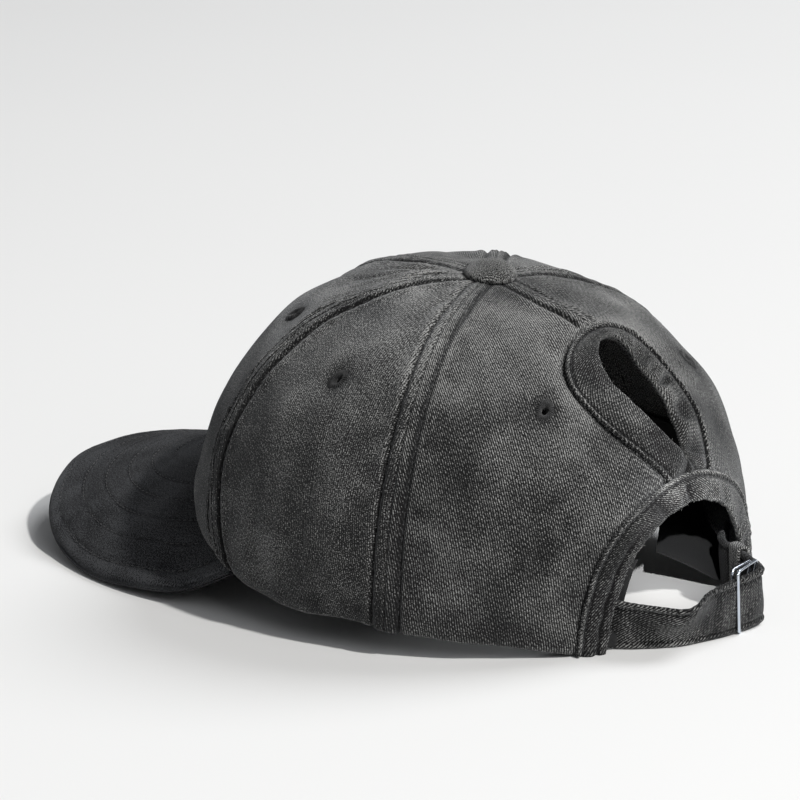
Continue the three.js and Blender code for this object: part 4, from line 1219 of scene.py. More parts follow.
def eyelet_shape():
    helper = bpy.data.meshes.new("eyelet_ring")
    helper.vertices.add(1)
    threads = grown(
        "overcast", helper, OVERCAST, hole_radius=EYELET_HOLE * METRES, outer_radius=EYELET_RADIUS * METRES,
        thread_radius=0.27 * METRES, threads=30, finish=eyelet_thread,
    )
    verts, faces = mesh_arrays(threads)
    bpy.data.objects.remove(threads)
    profile = np.array([
        (1.25, -1.9), (1.3, -0.5), (1.7, 0.1), (2.4, 0.42), (3.1, 0.3), (3.6, -0.1), (3.75, -0.7),
        (3.75, -1.6), (3.3, -2.2), (2.4, -2.45), (1.6, -2.3),
    ])
    around = 48
    a = np.linspace(0, 2 * math.pi, around, endpoint=False)
    ring = np.stack([
        profile[:, :1] * np.cos(a), profile[:, :1] * np.sin(a), profile[:, 1:] * np.ones(around),
    ], -1)
    n = len(profile)
    idx = np.arange(n * around).reshape(n, around)
    nxt = np.roll(idx, -1, axis=0)
    quads = np.stack([idx, np.roll(idx, -1, axis=1), np.roll(nxt, -1, axis=1), nxt], -1).reshape(-1, 4)
    return (verts, faces), (ring.reshape(-1, 3), [quads[:, ::-1]])


def place_eyelets():
    shapes = eyelet_shape()
    for name, (angle, height) in EYELETS.items():
        for side, tag in ((1, "left"), (-1, "right")):
            th = side * rad(angle)
            normal = crown_normal(th, height)
            up = unit(crown(th, height + 0.01) - crown(th, height - 0.01))
            across = np.cross(up, normal)
            spot = crown(th, height) + normal * (float(drape(th, height)) + 0.15)
            tip = rad(-24) * side
            wide = across * math.cos(tip) + up * math.sin(tip)
            tall = up * math.cos(tip) - across * math.sin(tip)
            parts = []
            for v, f in shapes:
                v = v * np.array([0.74, 1.1, 1.0])
                v = v + 0.13 * soft_waves(v, 2.4, 91)[:, None] * np.array([1.0, 1.0, 0.8])
                parts.append((spot + v[:, :1] * wide + v[:, 1:2] * tall + v[:, 2:] * normal, f))
            piece = joined(f"eyelet_{name}_{tag}_sewn", parts, eyelet_thread)
            dressed(piece, "thread", f"eyelet_{name}_{tag}")


place_eyelets()


# Bindings


# Section of a folded binding: millimetres from the outer line, share of the width, height off the cloth
BINDING_SECTION = [
    (0.10, 0, -0.1), (-0.10, 0, 0.35), (-0.02, 0, 0.85), (0.25, 0, 1.25), (0.62, 0, 1.38), (1.0, 0, 1.2),
    (1.28, 0, 0.8), (1.55, 0, 0.42), (1.95, 0, 0.36), (2.35, 0, 0.62), (2.7, 0.04, 0.90), (2.9, 0.12, 1.05),
    (2.7, 0.24, 1.12), (2.4, 0.36, 1.14), (2.1, 0.45, 1.14), (1.9, 0.51, 1.14), (1.8, 0.56, 1.14),
    (1.7, 0.60, 1.14), (1.6, 0.64, 1.13), (1.4, 0.70, 1.10), (1.1, 0.78, 1.04), (0.7, 0.87, 0.95),
    (0.2, 0.95, 0.84), (-0.2, 1.0, 0.66), (-0.02, 1.0, 0.3), (0, 1.0, -0.15), (-0.12, 1.0, -0.65),
    (-0.5, 1.0, -1.1), (-0.4, 0.94, -1.5), (0.0, 0.84, -1.95), (0.4, 0.7, -2.4), (0.9, 0.5, -2.6),
    (1.1, 0.25, -2.6), (0.8, 0.05, -2.5), (0.7, 0, -2.0), (1.2, 0.3, -1.95), (1.2, 0.56, -1.9),
    (1.2, 0.56, 0.05), (1.2, 0.3, 0.05),
]
TOP_POINTS = 25
CORD_POINTS = 8
# Share of the width at which a second row of stitches runs
SECOND_ROW = 0.66


# Ripple, tuck and split say how far the fold waves, dips under and is sewn again, along its line
def make_binding(name, node, out_line, in_line, closed, seed, ripple, tuck, split):
    run = lengths(np.concatenate([out_line, out_line[:1]]) if closed else out_line)
    total = run[-1]
    run = run[:len(out_line)]
    loop = run / total * 2 * math.pi
    if closed:
        along = np.stack([np.cos(loop), np.sin(loop)], -1) * total / (2 * math.pi)
    else:
        along = run[:, None]
    inner_shake = 0.16 * soft_waves(along, 9, seed) + 0.03 * soft_waves(along, 2.2, seed + 1)
    span = in_line - out_line
    width = np.linalg.norm(span, axis=1)
    direction = span / width[:, None]
    width = width + inner_shake
    slow = soft_waves(along, 15, seed + 2)
    quick = soft_waves(along, 6.5, seed + 3)
    twist = soft_waves(along, 3.1, seed + 4)
    amount = ripple(run / total)
    second = split(run / total)
    rings = []
    wear_and_shade_rows = []
    weaves = []
    for k, (mm, share, off) in enumerate(BINDING_SECTION):
        across = np.minimum(mm + share * width, width + 0.05 + min(mm, 0))
        where = out_line + direction * across[:, None]
        f = np.clip(across / width, 0, 1)
        ridge = soft_waves(np.concatenate([along, 0.9 * across[:, None]], 1), 9 if closed else 8, seed + 5)
        swell = np.sin(math.pi * np.clip((f - 0.22) / 0.80, 0, 1))
        lift = amount * (0.52 * slow + 0.26 * quick + 0.34 * ridge) * swell
        if k < CORD_POINTS:
            lift = 0.07 * twist + 0.12 * slow * amount
        top = k < TOP_POINTS
        from_row = across - SECOND_ROW * width
        groove = hump(from_row / 0.65) * second * top
        lift = lift - 0.95 * groove
        body = off + lift * (1.0 if top else 0.6)
        up = np.maximum(where[:, 1], 0.25 + (0.0 if off > -1 else 0.15))
        body = body + tuck(where[:, 0], up, off)
        ring = on_back(where[:, 0], up, body)
        rings.append(ring)
        # Rubbed, paler cord and inner edge; painted shade in the groove beside the cord and in the second
        # row's groove, painted light on raised ripples and by height
        binding_wear_and_shade = np.full(len(run), -0.4)
        if top:
            binding_wear_and_shade = 1.05 * hump((across - 0.6) / 0.5) - 1.3 * hump((across - 1.85) / 0.6)
            binding_wear_and_shade = binding_wear_and_shade - (1.0 if closed else 0.48)
            binding_wear_and_shade = binding_wear_and_shade + 0.35 * hump((across - 3.0) / 0.6) + 0.85 * hump((width - across) / 0.65)
            binding_wear_and_shade = binding_wear_and_shade + 0.5 * lift - 1.0 * groove + 0.16 * slow
            binding_wear_and_shade = binding_wear_and_shade + 0.55 * second * hump((from_row - 1.3) / 0.5) + painted_height_light(ring) * 0.8
        wear_and_shade_rows.append(binding_wear_and_shade)
        weaves.append(np.stack([run, across + (0 if top else 17)], -1))
    rings = np.stack(rings, 1)
    weaves = np.stack(weaves, 1)
    weave = turned(weaves[..., 0], weaves[..., 1], -58)
    corded = np.where(np.arange(len(BINDING_SECTION)) < CORD_POINTS, 0.45, 0.12)
    corded = np.repeat(corded[None], len(run), 0)
    piece = lofted(name, rings, worn_twill, weave, np.stack(wear_and_shade_rows, 1), closed, corded)
    return dressed(piece, "worn_twill", node)


def arch_ripple(f):
    return 0.35 + 0.9 * smooth((f - 0.60) / 0.2) + 0.5 * hump((f - 0.47) / 0.05)


def slot_ripple(f):
    return 0.45 + 1.3 * smooth((f - 0.50) / 0.08) * smooth((1.0 - f) / 0.05)


def no_tuck(across, up, off):
    return np.zeros(len(up))


# The end of the sweatband is sewn on beside the left leg's edge, down to the rim
def leg_split(f):
    return smooth((0.29 - f) / 0.03)


def no_split(f):
    return np.zeros(len(f))


def slot_tuck(across, up, off):
    top = np.interp(across, arch_out[::-1, 0][40:-40], arch_out[::-1, 1][40:-40])
    return -1.5 * smooth((top + 1.4 - up) / 2.4) * (off > 0)


make_binding(
    "arch_binding_cloth", "arch_binding", arch_out, arch_in, False, 301,
    arch_ripple, no_tuck, leg_split,
)
make_binding(
    "slot_binding_cloth", "slot_binding", slot_out, slot_in, True, 351,
    slot_ripple, slot_tuck, no_split,
)


def binding_row(out_line, in_line, inset, off):
    where = out_line + unit(in_line - out_line) * inset
    up = np.maximum(where[:, 1], 0.5)
    points = on_back(where[:, 0], up, np.full(len(up), off))
    t = up / BACK_LENGTH
    return points, crown_normal(back_angle(where[:, 0], t), t)


sew("binding_topstitch", [
    binding_row(arch_out, arch_in, 1.9, 0.42),
    binding_row(slot_out[12:-10], slot_in[12:-10], 1.9, 0.42),
], 2.6, 2.0, 0.12, seam_thread, 6)


# Loose ends along the rubbed inner edges
def make_lint():
    rng = np.random.default_rng(61)
    ends = []
    for out_line, in_line, count in ((arch_out, arch_in, 56), (slot_out, slot_in, 22)):
        for i in rng.integers(8, len(out_line) - 8, count):
            direction = unit(in_line[i] - out_line[i])
            base = in_line[i] - direction * rng.uniform(0, 0.5)
            reach = rng.uniform(0.3, 1.0)
            slant = rng.normal() * 0.8
            side = np.array([-direction[1], direction[0]])
            line = np.stack([base, base + (direction + side * slant) * reach])
            up = np.maximum(line[:, 1], 0.5)
            ends.append(on_back(line[:, 0], up, np.array([0.7, 0.5 + rng.normal() * 0.5])))
    ends = np.array(ends)
    outward = np.repeat(crown_normal(math.pi, 0.4)[None], len(ends), 0)
    along = unit(ends[:, 1] - ends[:, 0])
    return lay_threads("frayed_ends", ends.mean(1), along, outward, 1.0, 0.055, lint_thread)


make_lint()


# Peak


PEAK_COLS = 240


def peak_outline(count):
    root = dome(rad(PEAK_ROOT_ANGLE), 0.0)
    k = np.arange(12) / 12
    x = root[0] + (PEAK_HALF_WIDTH - root[0]) * np.sin(k * math.pi / 2)
    y = root[1] + (PEAK_CENTRE_Y - root[1]) * k
    f = math.pi / 2 - np.arange(321) / 320 * math.pi
    fx = PEAK_HALF_WIDTH * pow_sign(np.sin(f), 2 / PEAK_SQUARENESS)
    fy = PEAK_CENTRE_Y - PEAK_DEPTH * np.abs(np.cos(f)) ** (2 / PEAK_SQUARENESS)
    pts = np.concatenate([np.stack([x, y], 1), np.stack([fx, fy], 1), np.stack([-x, y], 1)[::-1]])
    run = lengths(pts)
    return along_line(np.linspace(0, run[-1], count), run, pts)


peak_edge = peak_outline(PEAK_COLS + 1)


def peak_directions():
    d = np.gradient(peak_edge, axis=0)
    for smoothing in range(3):
        d[1:-1] = (d[:-2] + d[1:-1] + d[2:]) / 3
    d = unit(d)
    return np.stack([-d[:, 1], d[:, 0]], 1)


peak_outward = peak_directions()


def peak_normal(x, y):
    e = 0.5
    zx = (peak_z(x + e, y) - peak_z(x - e, y)) / (2 * e)
    zy = (peak_z(x, y + e) - peak_z(x, y - e)) / (2 * e)
    return unit(np.stack([-zx, -zy, np.ones_like(zx)], -1))


def on_peak(x, y, off):
    return np.stack([x, y, peak_z(x, y)], -1) + peak_normal(x, y) * np.asarray(off)[..., None]


def peak_root(inset):
    u = 1 - 2 * np.arange(PEAK_COLS + 1) / PEAK_COLS
    th = u * rad(PEAK_ROOT_ANGLE - 4)
    r = dome(th, 0.0)
    n = crown_normal(th, np.full(th.shape, 0.01))
    return r[:, :2] - n[:, :2] * inset


ROW_FIRST = 4.2
ROW_GAP = 8.4
ROW_COUNT = 8


def row_relief(to_edge, x, y):
    phase = (to_edge - ROW_FIRST) / ROW_GAP
    nearest = np.clip(np.round(phase), 0, ROW_COUNT - 1)
    d = to_edge - ROW_FIRST - nearest * ROW_GAP
    tug = soft_waves(np.stack([x, y], -1), 5.5, 401)
    furrow = -0.24 * (1 + 0.3 * tug) * hump(d / 0.6)
    return furrow + 0.08 * (1 + 0.4 * tug) * hump((np.abs(d) - 1.8) / 1.3), d


def peak_plan(inset_root, inset_edge, rows):
    inner = peak_root(inset_root)
    outer = peak_edge - peak_outward * inset_edge
    return inner[None] * (1 - rows)[:, None, None] + outer[None] * rows[:, None, None]


# The top cover's root reaches under the crown's front panels and turns up behind them
PEAK_TOP_INSET = PANEL_THICK + 0.8


def make_peak_top():
    last_rows = 1 - np.array([0.028, 0.021, 0.014, 0.008, 0.003, 0.0])
    rows = np.concatenate([np.linspace(0, 0.965, 112), last_rows])
    plan = peak_plan(PEAK_TOP_INSET, 0.0, rows)
    x, y = plan[..., 0], plan[..., 1]
    to_edge = to_line(plan, peak_edge[::2])[0]
    relief, d = row_relief(to_edge, x, y)
    slow = 0.22 * soft_waves(np.stack([x, y], -1), 34, 402)
    round_off = 1.5 - 1.5 * np.sqrt(np.maximum(0, 1 - np.clip(1 - to_edge / 1.5, 0, 1) ** 2))
    near_crown = smooth((np.linspace(0, 1, len(rows))[:, None] - 0.02) / 0.05)
    turn_up = 2.2 * (1 - near_crown)
    top = on_peak(x, y, (relief + slow) * near_crown + turn_up - round_off * 0.8)
    low_plan = peak_plan(PEAK_TOP_INSET, 1.2, rows)
    bottom = on_peak(low_plan[..., 0], low_plan[..., 1], turn_up - 1.0 + np.zeros(x.shape))
    roll = [(0.45, -1.25), (0.75, -1.6), (0.92, -2.0), (0.92, -2.45), (0.7, -2.8), (0.25, -2.98)]
    for out, off in roll:
        e = peak_edge + peak_outward * out
        i = peak_edge + peak_outward * min(out - 0.75, -0.1)
        behind = np.full(len(e), min(off + 0.1, -1.6))
        top = np.concatenate([top, on_peak(e[:, 0], e[:, 1], np.full(len(e), off))[None]])
        bottom = np.concatenate([bottom, on_peak(i[:, 0], i[:, 1], behind)[None]])
    patch = 0.6 + 0.5 * soft_waves(np.stack([x, y], -1), 14, 403)
    # Painted shade in the furrows of the stitched rows and painted light on the puffs between; the edge band
    # is rubbed paler, with a darker line just inside the first row
    wear = (-1.1 * hump(d / 0.55) + 0.4 * hump((np.abs(d) - 1.6) / 0.8)) * patch
    wear = wear + (0.7 + 0.6 * patch) * hump((to_edge - 0.8) / 4.2)
    wear = wear - 0.9 * hump((to_edge - 5.6) / 0.8)
    wear = np.concatenate([wear, np.full((len(roll), PEAK_COLS + 1), 0.25)])
    rolled = [peak_edge + peak_outward * (out - off) for out, off in roll]
    weave = np.concatenate([np.stack([x, y], -1), np.array(rolled)])
    weave = turned(weave[..., 0], weave[..., 1], 40)
    piece = cloth_shell("peak_top_cloth", top, bottom, peak_twill, weave, wear, wear * 0, None, 0.7)
    return dressed(piece, "peak_twill", "peak_top_cover")


def make_peak_under():
    rows = np.concatenate([np.linspace(0, 0.97, 108), 1 - np.array([0.022, 0.015, 0.009, 0.004, 0.0])])
    top_plan = peak_plan(PANEL_THICK, -0.75, rows)
    low_plan = peak_plan(PANEL_THICK, -0.45, rows)
    x, y = low_plan[..., 0], low_plan[..., 1]
    to_edge = to_line(low_plan, peak_edge[::2])[0]
    relief, d = row_relief(to_edge, x, y)
    round_off = 0.5 - 0.5 * np.sqrt(np.maximum(0, 1 - np.clip(1 - to_edge / 0.8, 0, 1) ** 2))
    top = on_peak(top_plan[..., 0], top_plan[..., 1], np.full(x.shape, -3.25))
    under = on_peak(x, y, -4.15 - np.minimum(relief, 0.02) * 0.9 + round_off)
    # Painted shade in the furrows of the stitched rows, painted light on the puffs between, and a paler edge
    wear = -0.6 * hump(d / 0.5) + 0.2 * hump((np.abs(d) - 1.6) / 0.8) + 0.2 * hump((to_edge - 0.4) / 1.0)
    weave = turned(x, y, -35)
    piece = cloth_shell("peak_under_cloth", top, under, peak_twill, weave, wear, wear)
    return dressed(piece, "peak_twill", "peak_under_cover")


make_peak_top()
make_peak_under()


def peak_rows(off_top):
    region = np.concatenate([peak_edge, peak_root(-1.2)[::-1]])
    lines = []
    for k in range(ROW_COUNT):
        inset = ROW_FIRST + k * ROW_GAP
        line = peak_edge - peak_outward * inset
        true_gap = to_line(line, peak_edge)[0]
        good = inside_outline(line, region) & (true_gap > inset - 0.35)
        start = None
        for i in range(len(line) + 1):
            if i < len(line) and good[i]:
                start = i if start is None else start
                continue
            if start is not None and i - start > 6:
                part = line[start:i]
                normal = peak_normal(part[:, 0], part[:, 1])
                lines.append((on_peak(part[:, 0], part[:, 1], np.full(len(part), off_top)), normal))
            start = None
    return lines


sew("peak_topstitch", peak_rows(-0.06), 3.0, 2.3, 0.15, seam_thread, 7)
sew("peak_understitch", peak_rows(-4.05), 3.0, 2.3, 0.17, seam_thread, 8)

bpy.data.objects["peak_board"].data.materials.clear()
bpy.data.objects["peak_board"].data.materials.append(board_sheet)


# Sweatband and leg tape


SLACK_END = -41
BAND_THICK = 1.2
BAND_GAP = 1.0
BAND_STATIONS = 560
BAND_MIDDLE = -(PANEL_THICK + BAND_GAP + BAND_THICK / 2)
TAPE_MIDDLE = -2.3


# On the right the slack band leans in from the rim, down to the table, and lies there as a near-black sheet
# standing in for the shade on the table inside the cap
def slumped(grid, th, rows):
    lean = np.radians(58) * smooth((-rad(110) - th) / rad(28))
    run_out = smooth((-rad(138) - th) / rad(24))
    foot = crown(th, 0.001)
    n = crown_normal(th, np.full(th.shape, 0.02))
    flat = unit(np.stack([n[:, 0], n[:, 1], 0 * th], -1))
    tall = rows[:, None]
    inward = tall * np.sin(lean)[None]
    height = tall * (np.cos(lean)[None] - 1)
    sway = 1.2 * waves_along(th * 80, 30, 521)[None] * (tall / SWEATBAND_HEIGHT) * np.sin(lean)[None]
    turn = np.array([0.78, 0.62, 0.0])
    pull = (tall / SWEATBAND_HEIGHT) * 9.0 * run_out[None]
    moved = grid - flat[None] * inward[..., None] + turn * pull[..., None]
    lowest = 0.6 + 0.2 * (grid[..., 2] > foot[None, :, 2] + 15)
    moved[..., 2] = np.maximum(grid[..., 2] + height + sway * 0.4, lowest)
    return moved


def make_sweatband():
    first = float(back_angle(SWEATBAND_END, 0.05))
    last = float(back_angle(SLACK_END, 0.05))
    th = np.linspace(last, first, BAND_STATIONS)
    lower = [0, 0.12, 0.35, 0.7]
    upper = [29.4, 29.75, 29.95, 30.0]
    rows = np.concatenate([lower, np.linspace(1.2, SWEATBAND_HEIGHT - 1.0, 26), upper])
    up = rows[:, None] + 0.8
    t = up / meridian_length(th)[None]
    thick = edge_rounding(np.minimum(rows, SWEATBAND_HEIGHT - rows), BAND_THICK)[:, None]
    grid = np.repeat(th[None], len(rows), 0)
    along = np.linspace(0, BAND_STATIONS, BAND_STATIONS)[None] * np.ones((len(rows), 1))
    pucker = 0.16 * waves_along(along, 7, 501) * hump((rows[:, None] - 4.5) / 3.5)
    groove = 0.35 * hump((rows[:, None] - 3.0) / 0.5) * np.ones_like(grid)
    outer = slumped(on_crown(grid, t, BAND_MIDDLE + thick), th, rows)
    inner = slumped(on_crown(grid, t, BAND_MIDDLE - thick + pucker + groove), th, rows)
    # Paler bottom edge, with painted shade in the stitched groove
    wear = 0.35 * hump(rows[:, None] / 1.0) - 0.6 * hump((rows[:, None] - 3.0) / 0.5) + 0 * grid
    weave = turned(along, up * np.ones_like(grid), 12)
    piece = cloth_shell("sweatband_cloth", outer, inner, band_cotton, weave, wear, wear)
    dressed(piece, "lining", "sweatband")
    th = np.linspace(-1.6, first, 400)
    row = 3.8 / meridian_length(th)
    line = on_crown(th, row, np.full(len(th), BAND_MIDDLE - 0.42))
    sew("sweatband_stitch", [(line, -crown_normal(th, row))], 3.0, 2.4, 0.17, seam_thread, 9)


# The band's end, taped down inside the left leg of the half-moon
def make_leg_tape():
    run = curve_through(ARCH[:6, 2:], 90)[:58]
    cols = np.concatenate([[-4.2, -4.1, -3.9], np.linspace(-3.6, 2.5, 22), [2.75, 2.92, 3.0]])
    x = run[:, :1] + cols[None]
    y = np.maximum(run[:, 1:], 0.35) + 0 * cols[None]
    side = np.minimum(cols + 4.2, 3.0 - cols)[None]
    ripple = 0.08 * soft_waves(np.stack([x, y], -1), 6, 511) * smooth(side / 1.0)
    bulk = 0.3 * smooth(side / 0.35 + 0.15)
    outer = on_back(x, y, TAPE_MIDDLE + bulk + ripple)[:, ::-1]
    inner = on_back(x, y, TAPE_MIDDLE - bulk + ripple)[:, ::-1]
    wear = 0.5 * hump(side / 0.7) - 0.55 * hump((side - 1.5) / 0.35) + 0 * x
    piece = cloth_shell("leg_tape_cloth", outer, inner, band_cotton, turned(x, y, 70), wear, wear)
    return dressed(piece, "lining", "leg_tape")


make_sweatband()
make_leg_tape()


# Strap, keeper and buckle


# Section of the strap: height from the lower edge, and distance in front of and behind the middle
STRAP_SECTION = [
    (0.0, 0.15), (0.12, 0.62), (0.55, 0.98), (1.15, 1.05), (1.7, 0.85), (2.1, 0.5), (2.5, 0.62),
    (3.3, 0.80), (5.0, 0.86), (7.0, 0.88), (9.0, 0.88), (11.0, 0.88), (13.0, 0.86), (14.6, 0.80),
    (15.3, 0.60), (15.75, 0.40), (16.1, 0.62), (16.45, 1.15), (17.0, 1.38), (17.6, 1.32),
    (18.15, 0.92), (18.45, 0.42), (18.5, 0.0),
]


# Running mean that keeps the length
def evened(values, count):
    padded = np.pad(values, count // 2, mode="edge")
    return np.convolve(padded, np.ones(count) / count, mode="valid")


def strap_line(count):
    spans = len(STRAP) - 1
    plan = curve_through(STRAP[:, :2], count)
    k = np.linspace(0, spans, count)
    low = np.interp(k, np.arange(spans + 1), STRAP[:, 2])
    lean = np.interp(k, np.arange(spans + 1), STRAP[:, 3])
    return plan, low, evened(lean, 15)


STRAP_STATIONS = 460
strap_plan, strap_low, strap_lean = strap_line(STRAP_STATIONS)


def strap_frame():
    d = np.gradient(strap_plan, axis=0)
    for k in range(2):
        d[:, k] = evened(d[:, k], 9)
    d = unit(d)
    return d, np.stack([d[:, 1], -d[:, 0]], 1)


strap_ahead, strap_out = strap_frame()
strap_run = lengths(strap_plan)


def strap_wave(run, h):
    broad = soft_waves(np.stack([run * 0.9, h * 0.55], -1), 13, 601)
    fine = soft_waves(np.stack([run, h * 0.8], -1), 5.5, 602)
    belly = np.sin(math.pi * np.clip(h / STRAP_WIDTH, 0, 1))
    x = np.interp(run, strap_run, strap_plan[:, 0])
    loose = smooth((x - 1) / 5) * smooth((34 - x) / 8)
    return (0.62 * broad + 0.16 * fine) * belly * (0.25 + 0.75 * loose)


def make_strap():
    section = STRAP_SECTION + [(h, -w) for h, w in STRAP_SECTION[-2:0:-1]]
    rings = []
    wear_and_shade_rows = []
    weaves = []
    for h, w in section:
        front = w >= 0
        off = w if front else w * 0.75
        sway = strap_wave(strap_run, np.full(STRAP_STATIONS, h))
        tilt = np.radians(strap_lean) * smooth(h / STRAP_WIDTH * 1.6)
        lean_out = h * np.sin(tilt)
        up = strap_low + 0.05 + h * np.cos(tilt)
        cord = 0.12 * waves_along(strap_run, 2.4, 603) * (h > 15.5)
        xy = strap_plan + strap_out * (off + sway + lean_out + cord)[:, None]
        rings.append(np.concatenate([xy, up[:, None]], 1))
        # Pale rubbed cords along both edges, with painted shade in the grooves inside them
        edge = 0.75 * hump((h - 17.1) / 0.9) + 0.4 * hump((h - 1.0) / 0.7)
        edge = edge - 0.7 * hump((h - 15.7) / 0.45) - 0.5 * hump((h - 2.1) / 0.4)
        # Darker towards the buckle end; painted light where the strap bulges out and painted shade where it
        # dips; the inner face darker
        darker_to_buckle = 0.46 + 1.05 * smooth((22 - strap_plan[:, 0]) / 14)
        wear_and_shade_rows.append(edge * 0.9 + 0.42 * sway - darker_to_buckle - (0 if front else 0.2))
        weaves.append(np.stack([strap_run, np.full(STRAP_STATIONS, h + (0 if front else 23))], -1))
    rings = np.stack(rings, 1)
    weaves = np.stack(weaves, 1)
    weave = turned(weaves[..., 0], weaves[..., 1], -52)
    piece = lofted("strap_cloth", rings, worn_twill, weave, np.stack(wear_and_shade_rows, 1), False)
    return dressed(piece, "worn_twill", "strap")


make_strap()


KEEPER_AT_X = -24.6
KEEPER_CORNER = 1.7
KEEPER_THICK = 1.05
# Section of the keeper: along the strap, and out from the keeper's line
KEEPER_SECTION = [
    (-3.5, -0.3), (-3.3, 0.02), (-2.6, 0.12), (-1.2, 0.02), (0, 0.0), (1.2, 0.02), (2.6, 0.12),
    (3.3, 0.02), (3.5, -0.3), (3.4, -0.8), (3.0, -KEEPER_THICK), (0, -KEEPER_THICK),
    (-3.0, -KEEPER_THICK), (-3.4, -0.8),
]


def make_keeper():
    i = int(np.argmax(strap_plan[:, 0] < KEEPER_AT_X))
    p = strap_plan[i]
    d = strap_ahead[i]
    n = strap_out[i]
    low, high = 0.5, strap_low[i] + STRAP_WIDTH + 1.6
    half = STRAP_THICK / 2 + 1.5
    r = KEEPER_CORNER
    mid = (low + high) / 2
    tall = (high - low) / 2
    path = []
    for sx, sz, start in ((1, 1, 0), (-1, 1, 90), (-1, -1, 180), (1, -1, 270)):
        for k in range(9):
            a = rad(start + 90 * k / 8)
            path.append((sx * (half - r) + r * math.cos(a), sz * (tall - r) + r * math.sin(a)))
    path = np.array(path)
    normal = unit(np.gradient(np.concatenate([path, path[:1]]), axis=0)[:-1])
    normal = np.stack([normal[:, 1], -normal[:, 0]], 1)
    rings = []
    for (a, z), (na, nz) in zip(path, normal):
        ring = []
        for s, off in KEEPER_SECTION:
            aa = a + na * off
            zz = mid + z + nz * off
            ring.append((p[0] + d[0] * s + n[0] * aa, p[1] + d[1] * s + n[1] * aa, zz))
        rings.append(ring)
    rings = np.array(rings)
    rings = rings + 0.10 * soft_waves(rings, 5, 611)[..., None] * np.array([n[0], n[1], 0.3])
    run = lengths(path)[:, None]
    s = np.array([c[0] for c in KEEPER_SECTION])[None]
    weave = turned(run + 0 * s, s + 0 * run, 40)
    wear = 0.5 * hump((np.abs(s) - 3.1) / 0.6) + 0 * run
    piece = lofted("strap_keeper_cloth", rings, worn_twill, weave, wear, True)
    return dressed(piece, "worn_twill", "strap_keeper")


make_keeper()


# Closed wire through its corners, as points and faces
def wire_loop(name, corners, radius):
    pts = np.array(corners, float) + np.array([0, ORIGIN_Y, 0])
    count = len(pts)
    helper = bpy.data.meshes.new(name + "_line")
    edges = [(i, (i + 1) % count) for i in range(count)]
    helper.from_pydata([tuple(v * METRES) for v in pts], edges, [])
    wire = grown(
        name, helper, BENT_WIRE, wire_radius=radius * METRES, bend_radius=BUCKLE_BEND * METRES,
        finish=steel_wire,
    )
    verts, faces = mesh_arrays(wire)
    bpy.data.objects.remove(wire)
    return verts - np.array([0, ORIGIN_Y, 0]), faces


def make_buckle():
    low, high = BUCKLE_BOTTOM, BUCKLE_TOP
    rim = [
        (-2.6, 110.2, low), (-2.6, 110.2, high), (-17.0, 107.2, high), (-13.6, 104.4, low + 0.3),
    ]
    bar = [
        (-4.4, 106.6, low + 0.4), (-4.4, 106.6, high - 0.4), (-16.2, 105.4, high - 0.3),
        (-13.0, 102.9, low + 0.6),
    ]
    parts = [
        wire_loop("buckle_frame", rim, BUCKLE_FRAME_RADIUS), wire_loop("buckle_bar", bar, BUCKLE_BAR_RADIUS),
    ]
    return dressed(joined("buckle_wire", parts, steel_wire), "steel_wire", "buckle")


make_buckle()


# Table, light and camera


TABLE_HALF = 9.0
TABLE_CELLS = 36


def make_table():
    count = TABLE_CELLS + 1
    x = np.linspace(-TABLE_HALF, TABLE_HALF, count) / METRES
    grid = np.stack(np.meshgrid(x, x, indexing="xy") + [np.zeros((count, count))], -1).reshape(-1, 3)
    grid[:, 1] -= ORIGIN_Y
    idx = np.arange(count ** 2).reshape(count, count)
    quads = np.stack([idx[:-1, :-1], idx[:-1, 1:], idx[1:, 1:], idx[1:, :-1]], -1).reshape(-1, 4)
    table = mesh_object("pale_table", grid, [quads], floor_finish())


make_table()

CAMERA_TURN = 132.313
CAMERA_RISE = 15.315
CAMERA_ROLL = -2.484
CAMERA_DISTANCE = 1250.1
CAMERA_ASIDE = -23.227
CAMERA_ABOVE = 12.131
PIXELS_PER_MM = 2.9605
PHOTO_WIDTH = 800
AIM = np.array([0.0, ORIGIN_Y, 50.0])


def camera_axes():
    a = rad(CAMERA_TURN)
    e = rad(CAMERA_RISE)
    back = np.array([math.sin(a) * math.cos(e), -math.cos(a) * math.cos(e), math.sin(e)])
    right = np.array([math.cos(a), math.sin(a), 0])
    up = np.cross(back, right)
    r = rad(CAMERA_ROLL)
    return right * math.cos(r) + up * math.sin(r), -right * math.sin(r) + up * math.cos(r), back


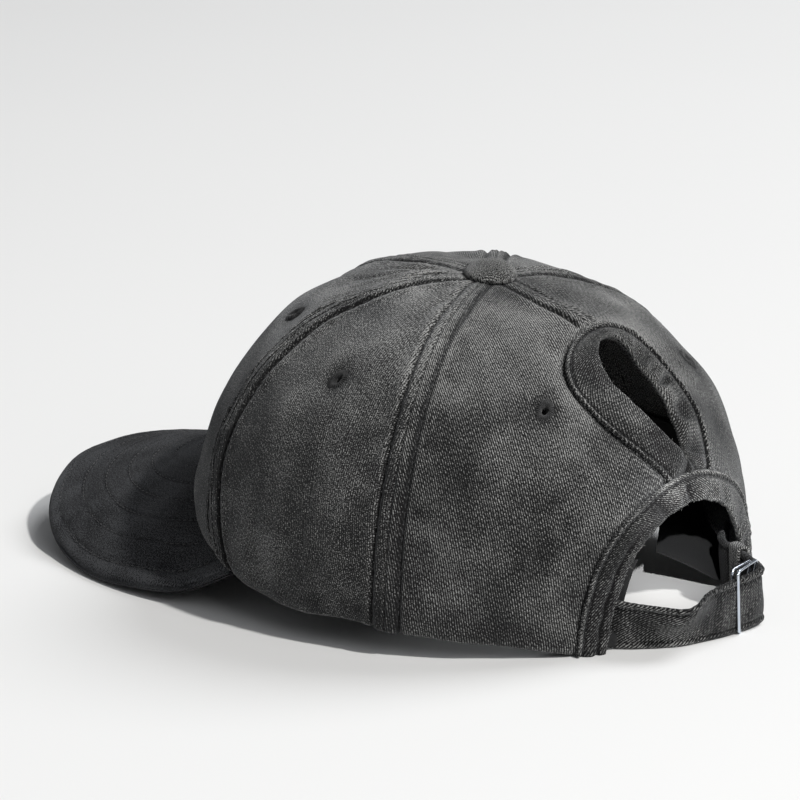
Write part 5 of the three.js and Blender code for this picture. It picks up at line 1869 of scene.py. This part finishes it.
def make_camera():
    right, up, back = camera_axes()
    where = AIM + right * CAMERA_ASIDE + up * CAMERA_ABOVE + back * CAMERA_DISTANCE
    data = bpy.data.cameras.new("photo_camera")
    data.sensor_width = 36.0
    data.lens = PIXELS_PER_MM * CAMERA_DISTANCE / PHOTO_WIDTH * data.sensor_width
    data.clip_start = 0.05
    data.clip_end = 60
    obj = bpy.data.objects.new("photo_camera", data)
    rows = [[right[k], up[k], back[k], where[k] * METRES] for k in range(3)] + [[0, 0, 0, 1]]
    obj.matrix_world = Matrix([[float(v) for v in row] for row in rows])
    bpy.context.scene.collection.objects.link(obj)
    bpy.context.scene.camera = obj


def make_lamp(name, direction, distance, size, power, colour):
    data = bpy.data.lights.new(name, "AREA")
    data.shape = "DISK"
    data.size = size
    data.energy = power
    data.color = colour
    obj = bpy.data.objects.new(name, data)
    d = Vector([float(v) for v in unit(np.array(direction))])
    target = Vector((0, 0, 0.05))
    obj.location = target + d * distance
    obj.rotation_euler = d.to_track_quat("Z", "Y").to_euler()
    bpy.context.scene.collection.objects.link(obj)


# Sunlight that reaches the table through the half-moon opening
def make_beam(name, start, end, power, angle):
    data = bpy.data.lights.new(name, "SPOT")
    data.energy = power
    data.spot_size = math.radians(angle)
    data.spot_blend = 1.0
    data.shadow_soft_size = 0.008
    lamp = bpy.data.objects.new(name, data)
    bpy.context.scene.collection.objects.link(lamp)
    lamp.location = start
    aim = Vector(end) - Vector(start)
    lamp.rotation_euler = aim.to_track_quat("-Z", "Y").to_euler()


def make_light():
    make_lamp("low_sun", np.array([0.02, 0.72, 0.69]), 6.0, 0.3, 300, (1.0, 0.985, 0.96))
    make_beam("sun_through_opening", (0.455, 0.620, 0.423), (-0.045, 0.079, 0.0), 30, 4.5)
    make_lamp("sky_over_strap", np.array([0.22, 0.80, 0.56]), 4.0, 2.4, 32, (0.97, 0.985, 1.0))
    make_lamp("sky_behind", np.array([-0.62, 0.22, 0.76]), 4.5, 2.6, 110, (0.97, 0.985, 1.0))
    world = bpy.data.worlds.new("pale_room")
    world.use_nodes = True
    world.node_tree.nodes["Background"].inputs["Color"].default_value = (0.95, 0.97, 1.0, 1)
    world.node_tree.nodes["Background"].inputs["Strength"].default_value = 0.16
    bpy.context.scene.world = world


make_camera()
make_light()
bpy.context.scene.view_settings.view_transform = "Standard"
bpy.context.scene.view_settings.look = "None"
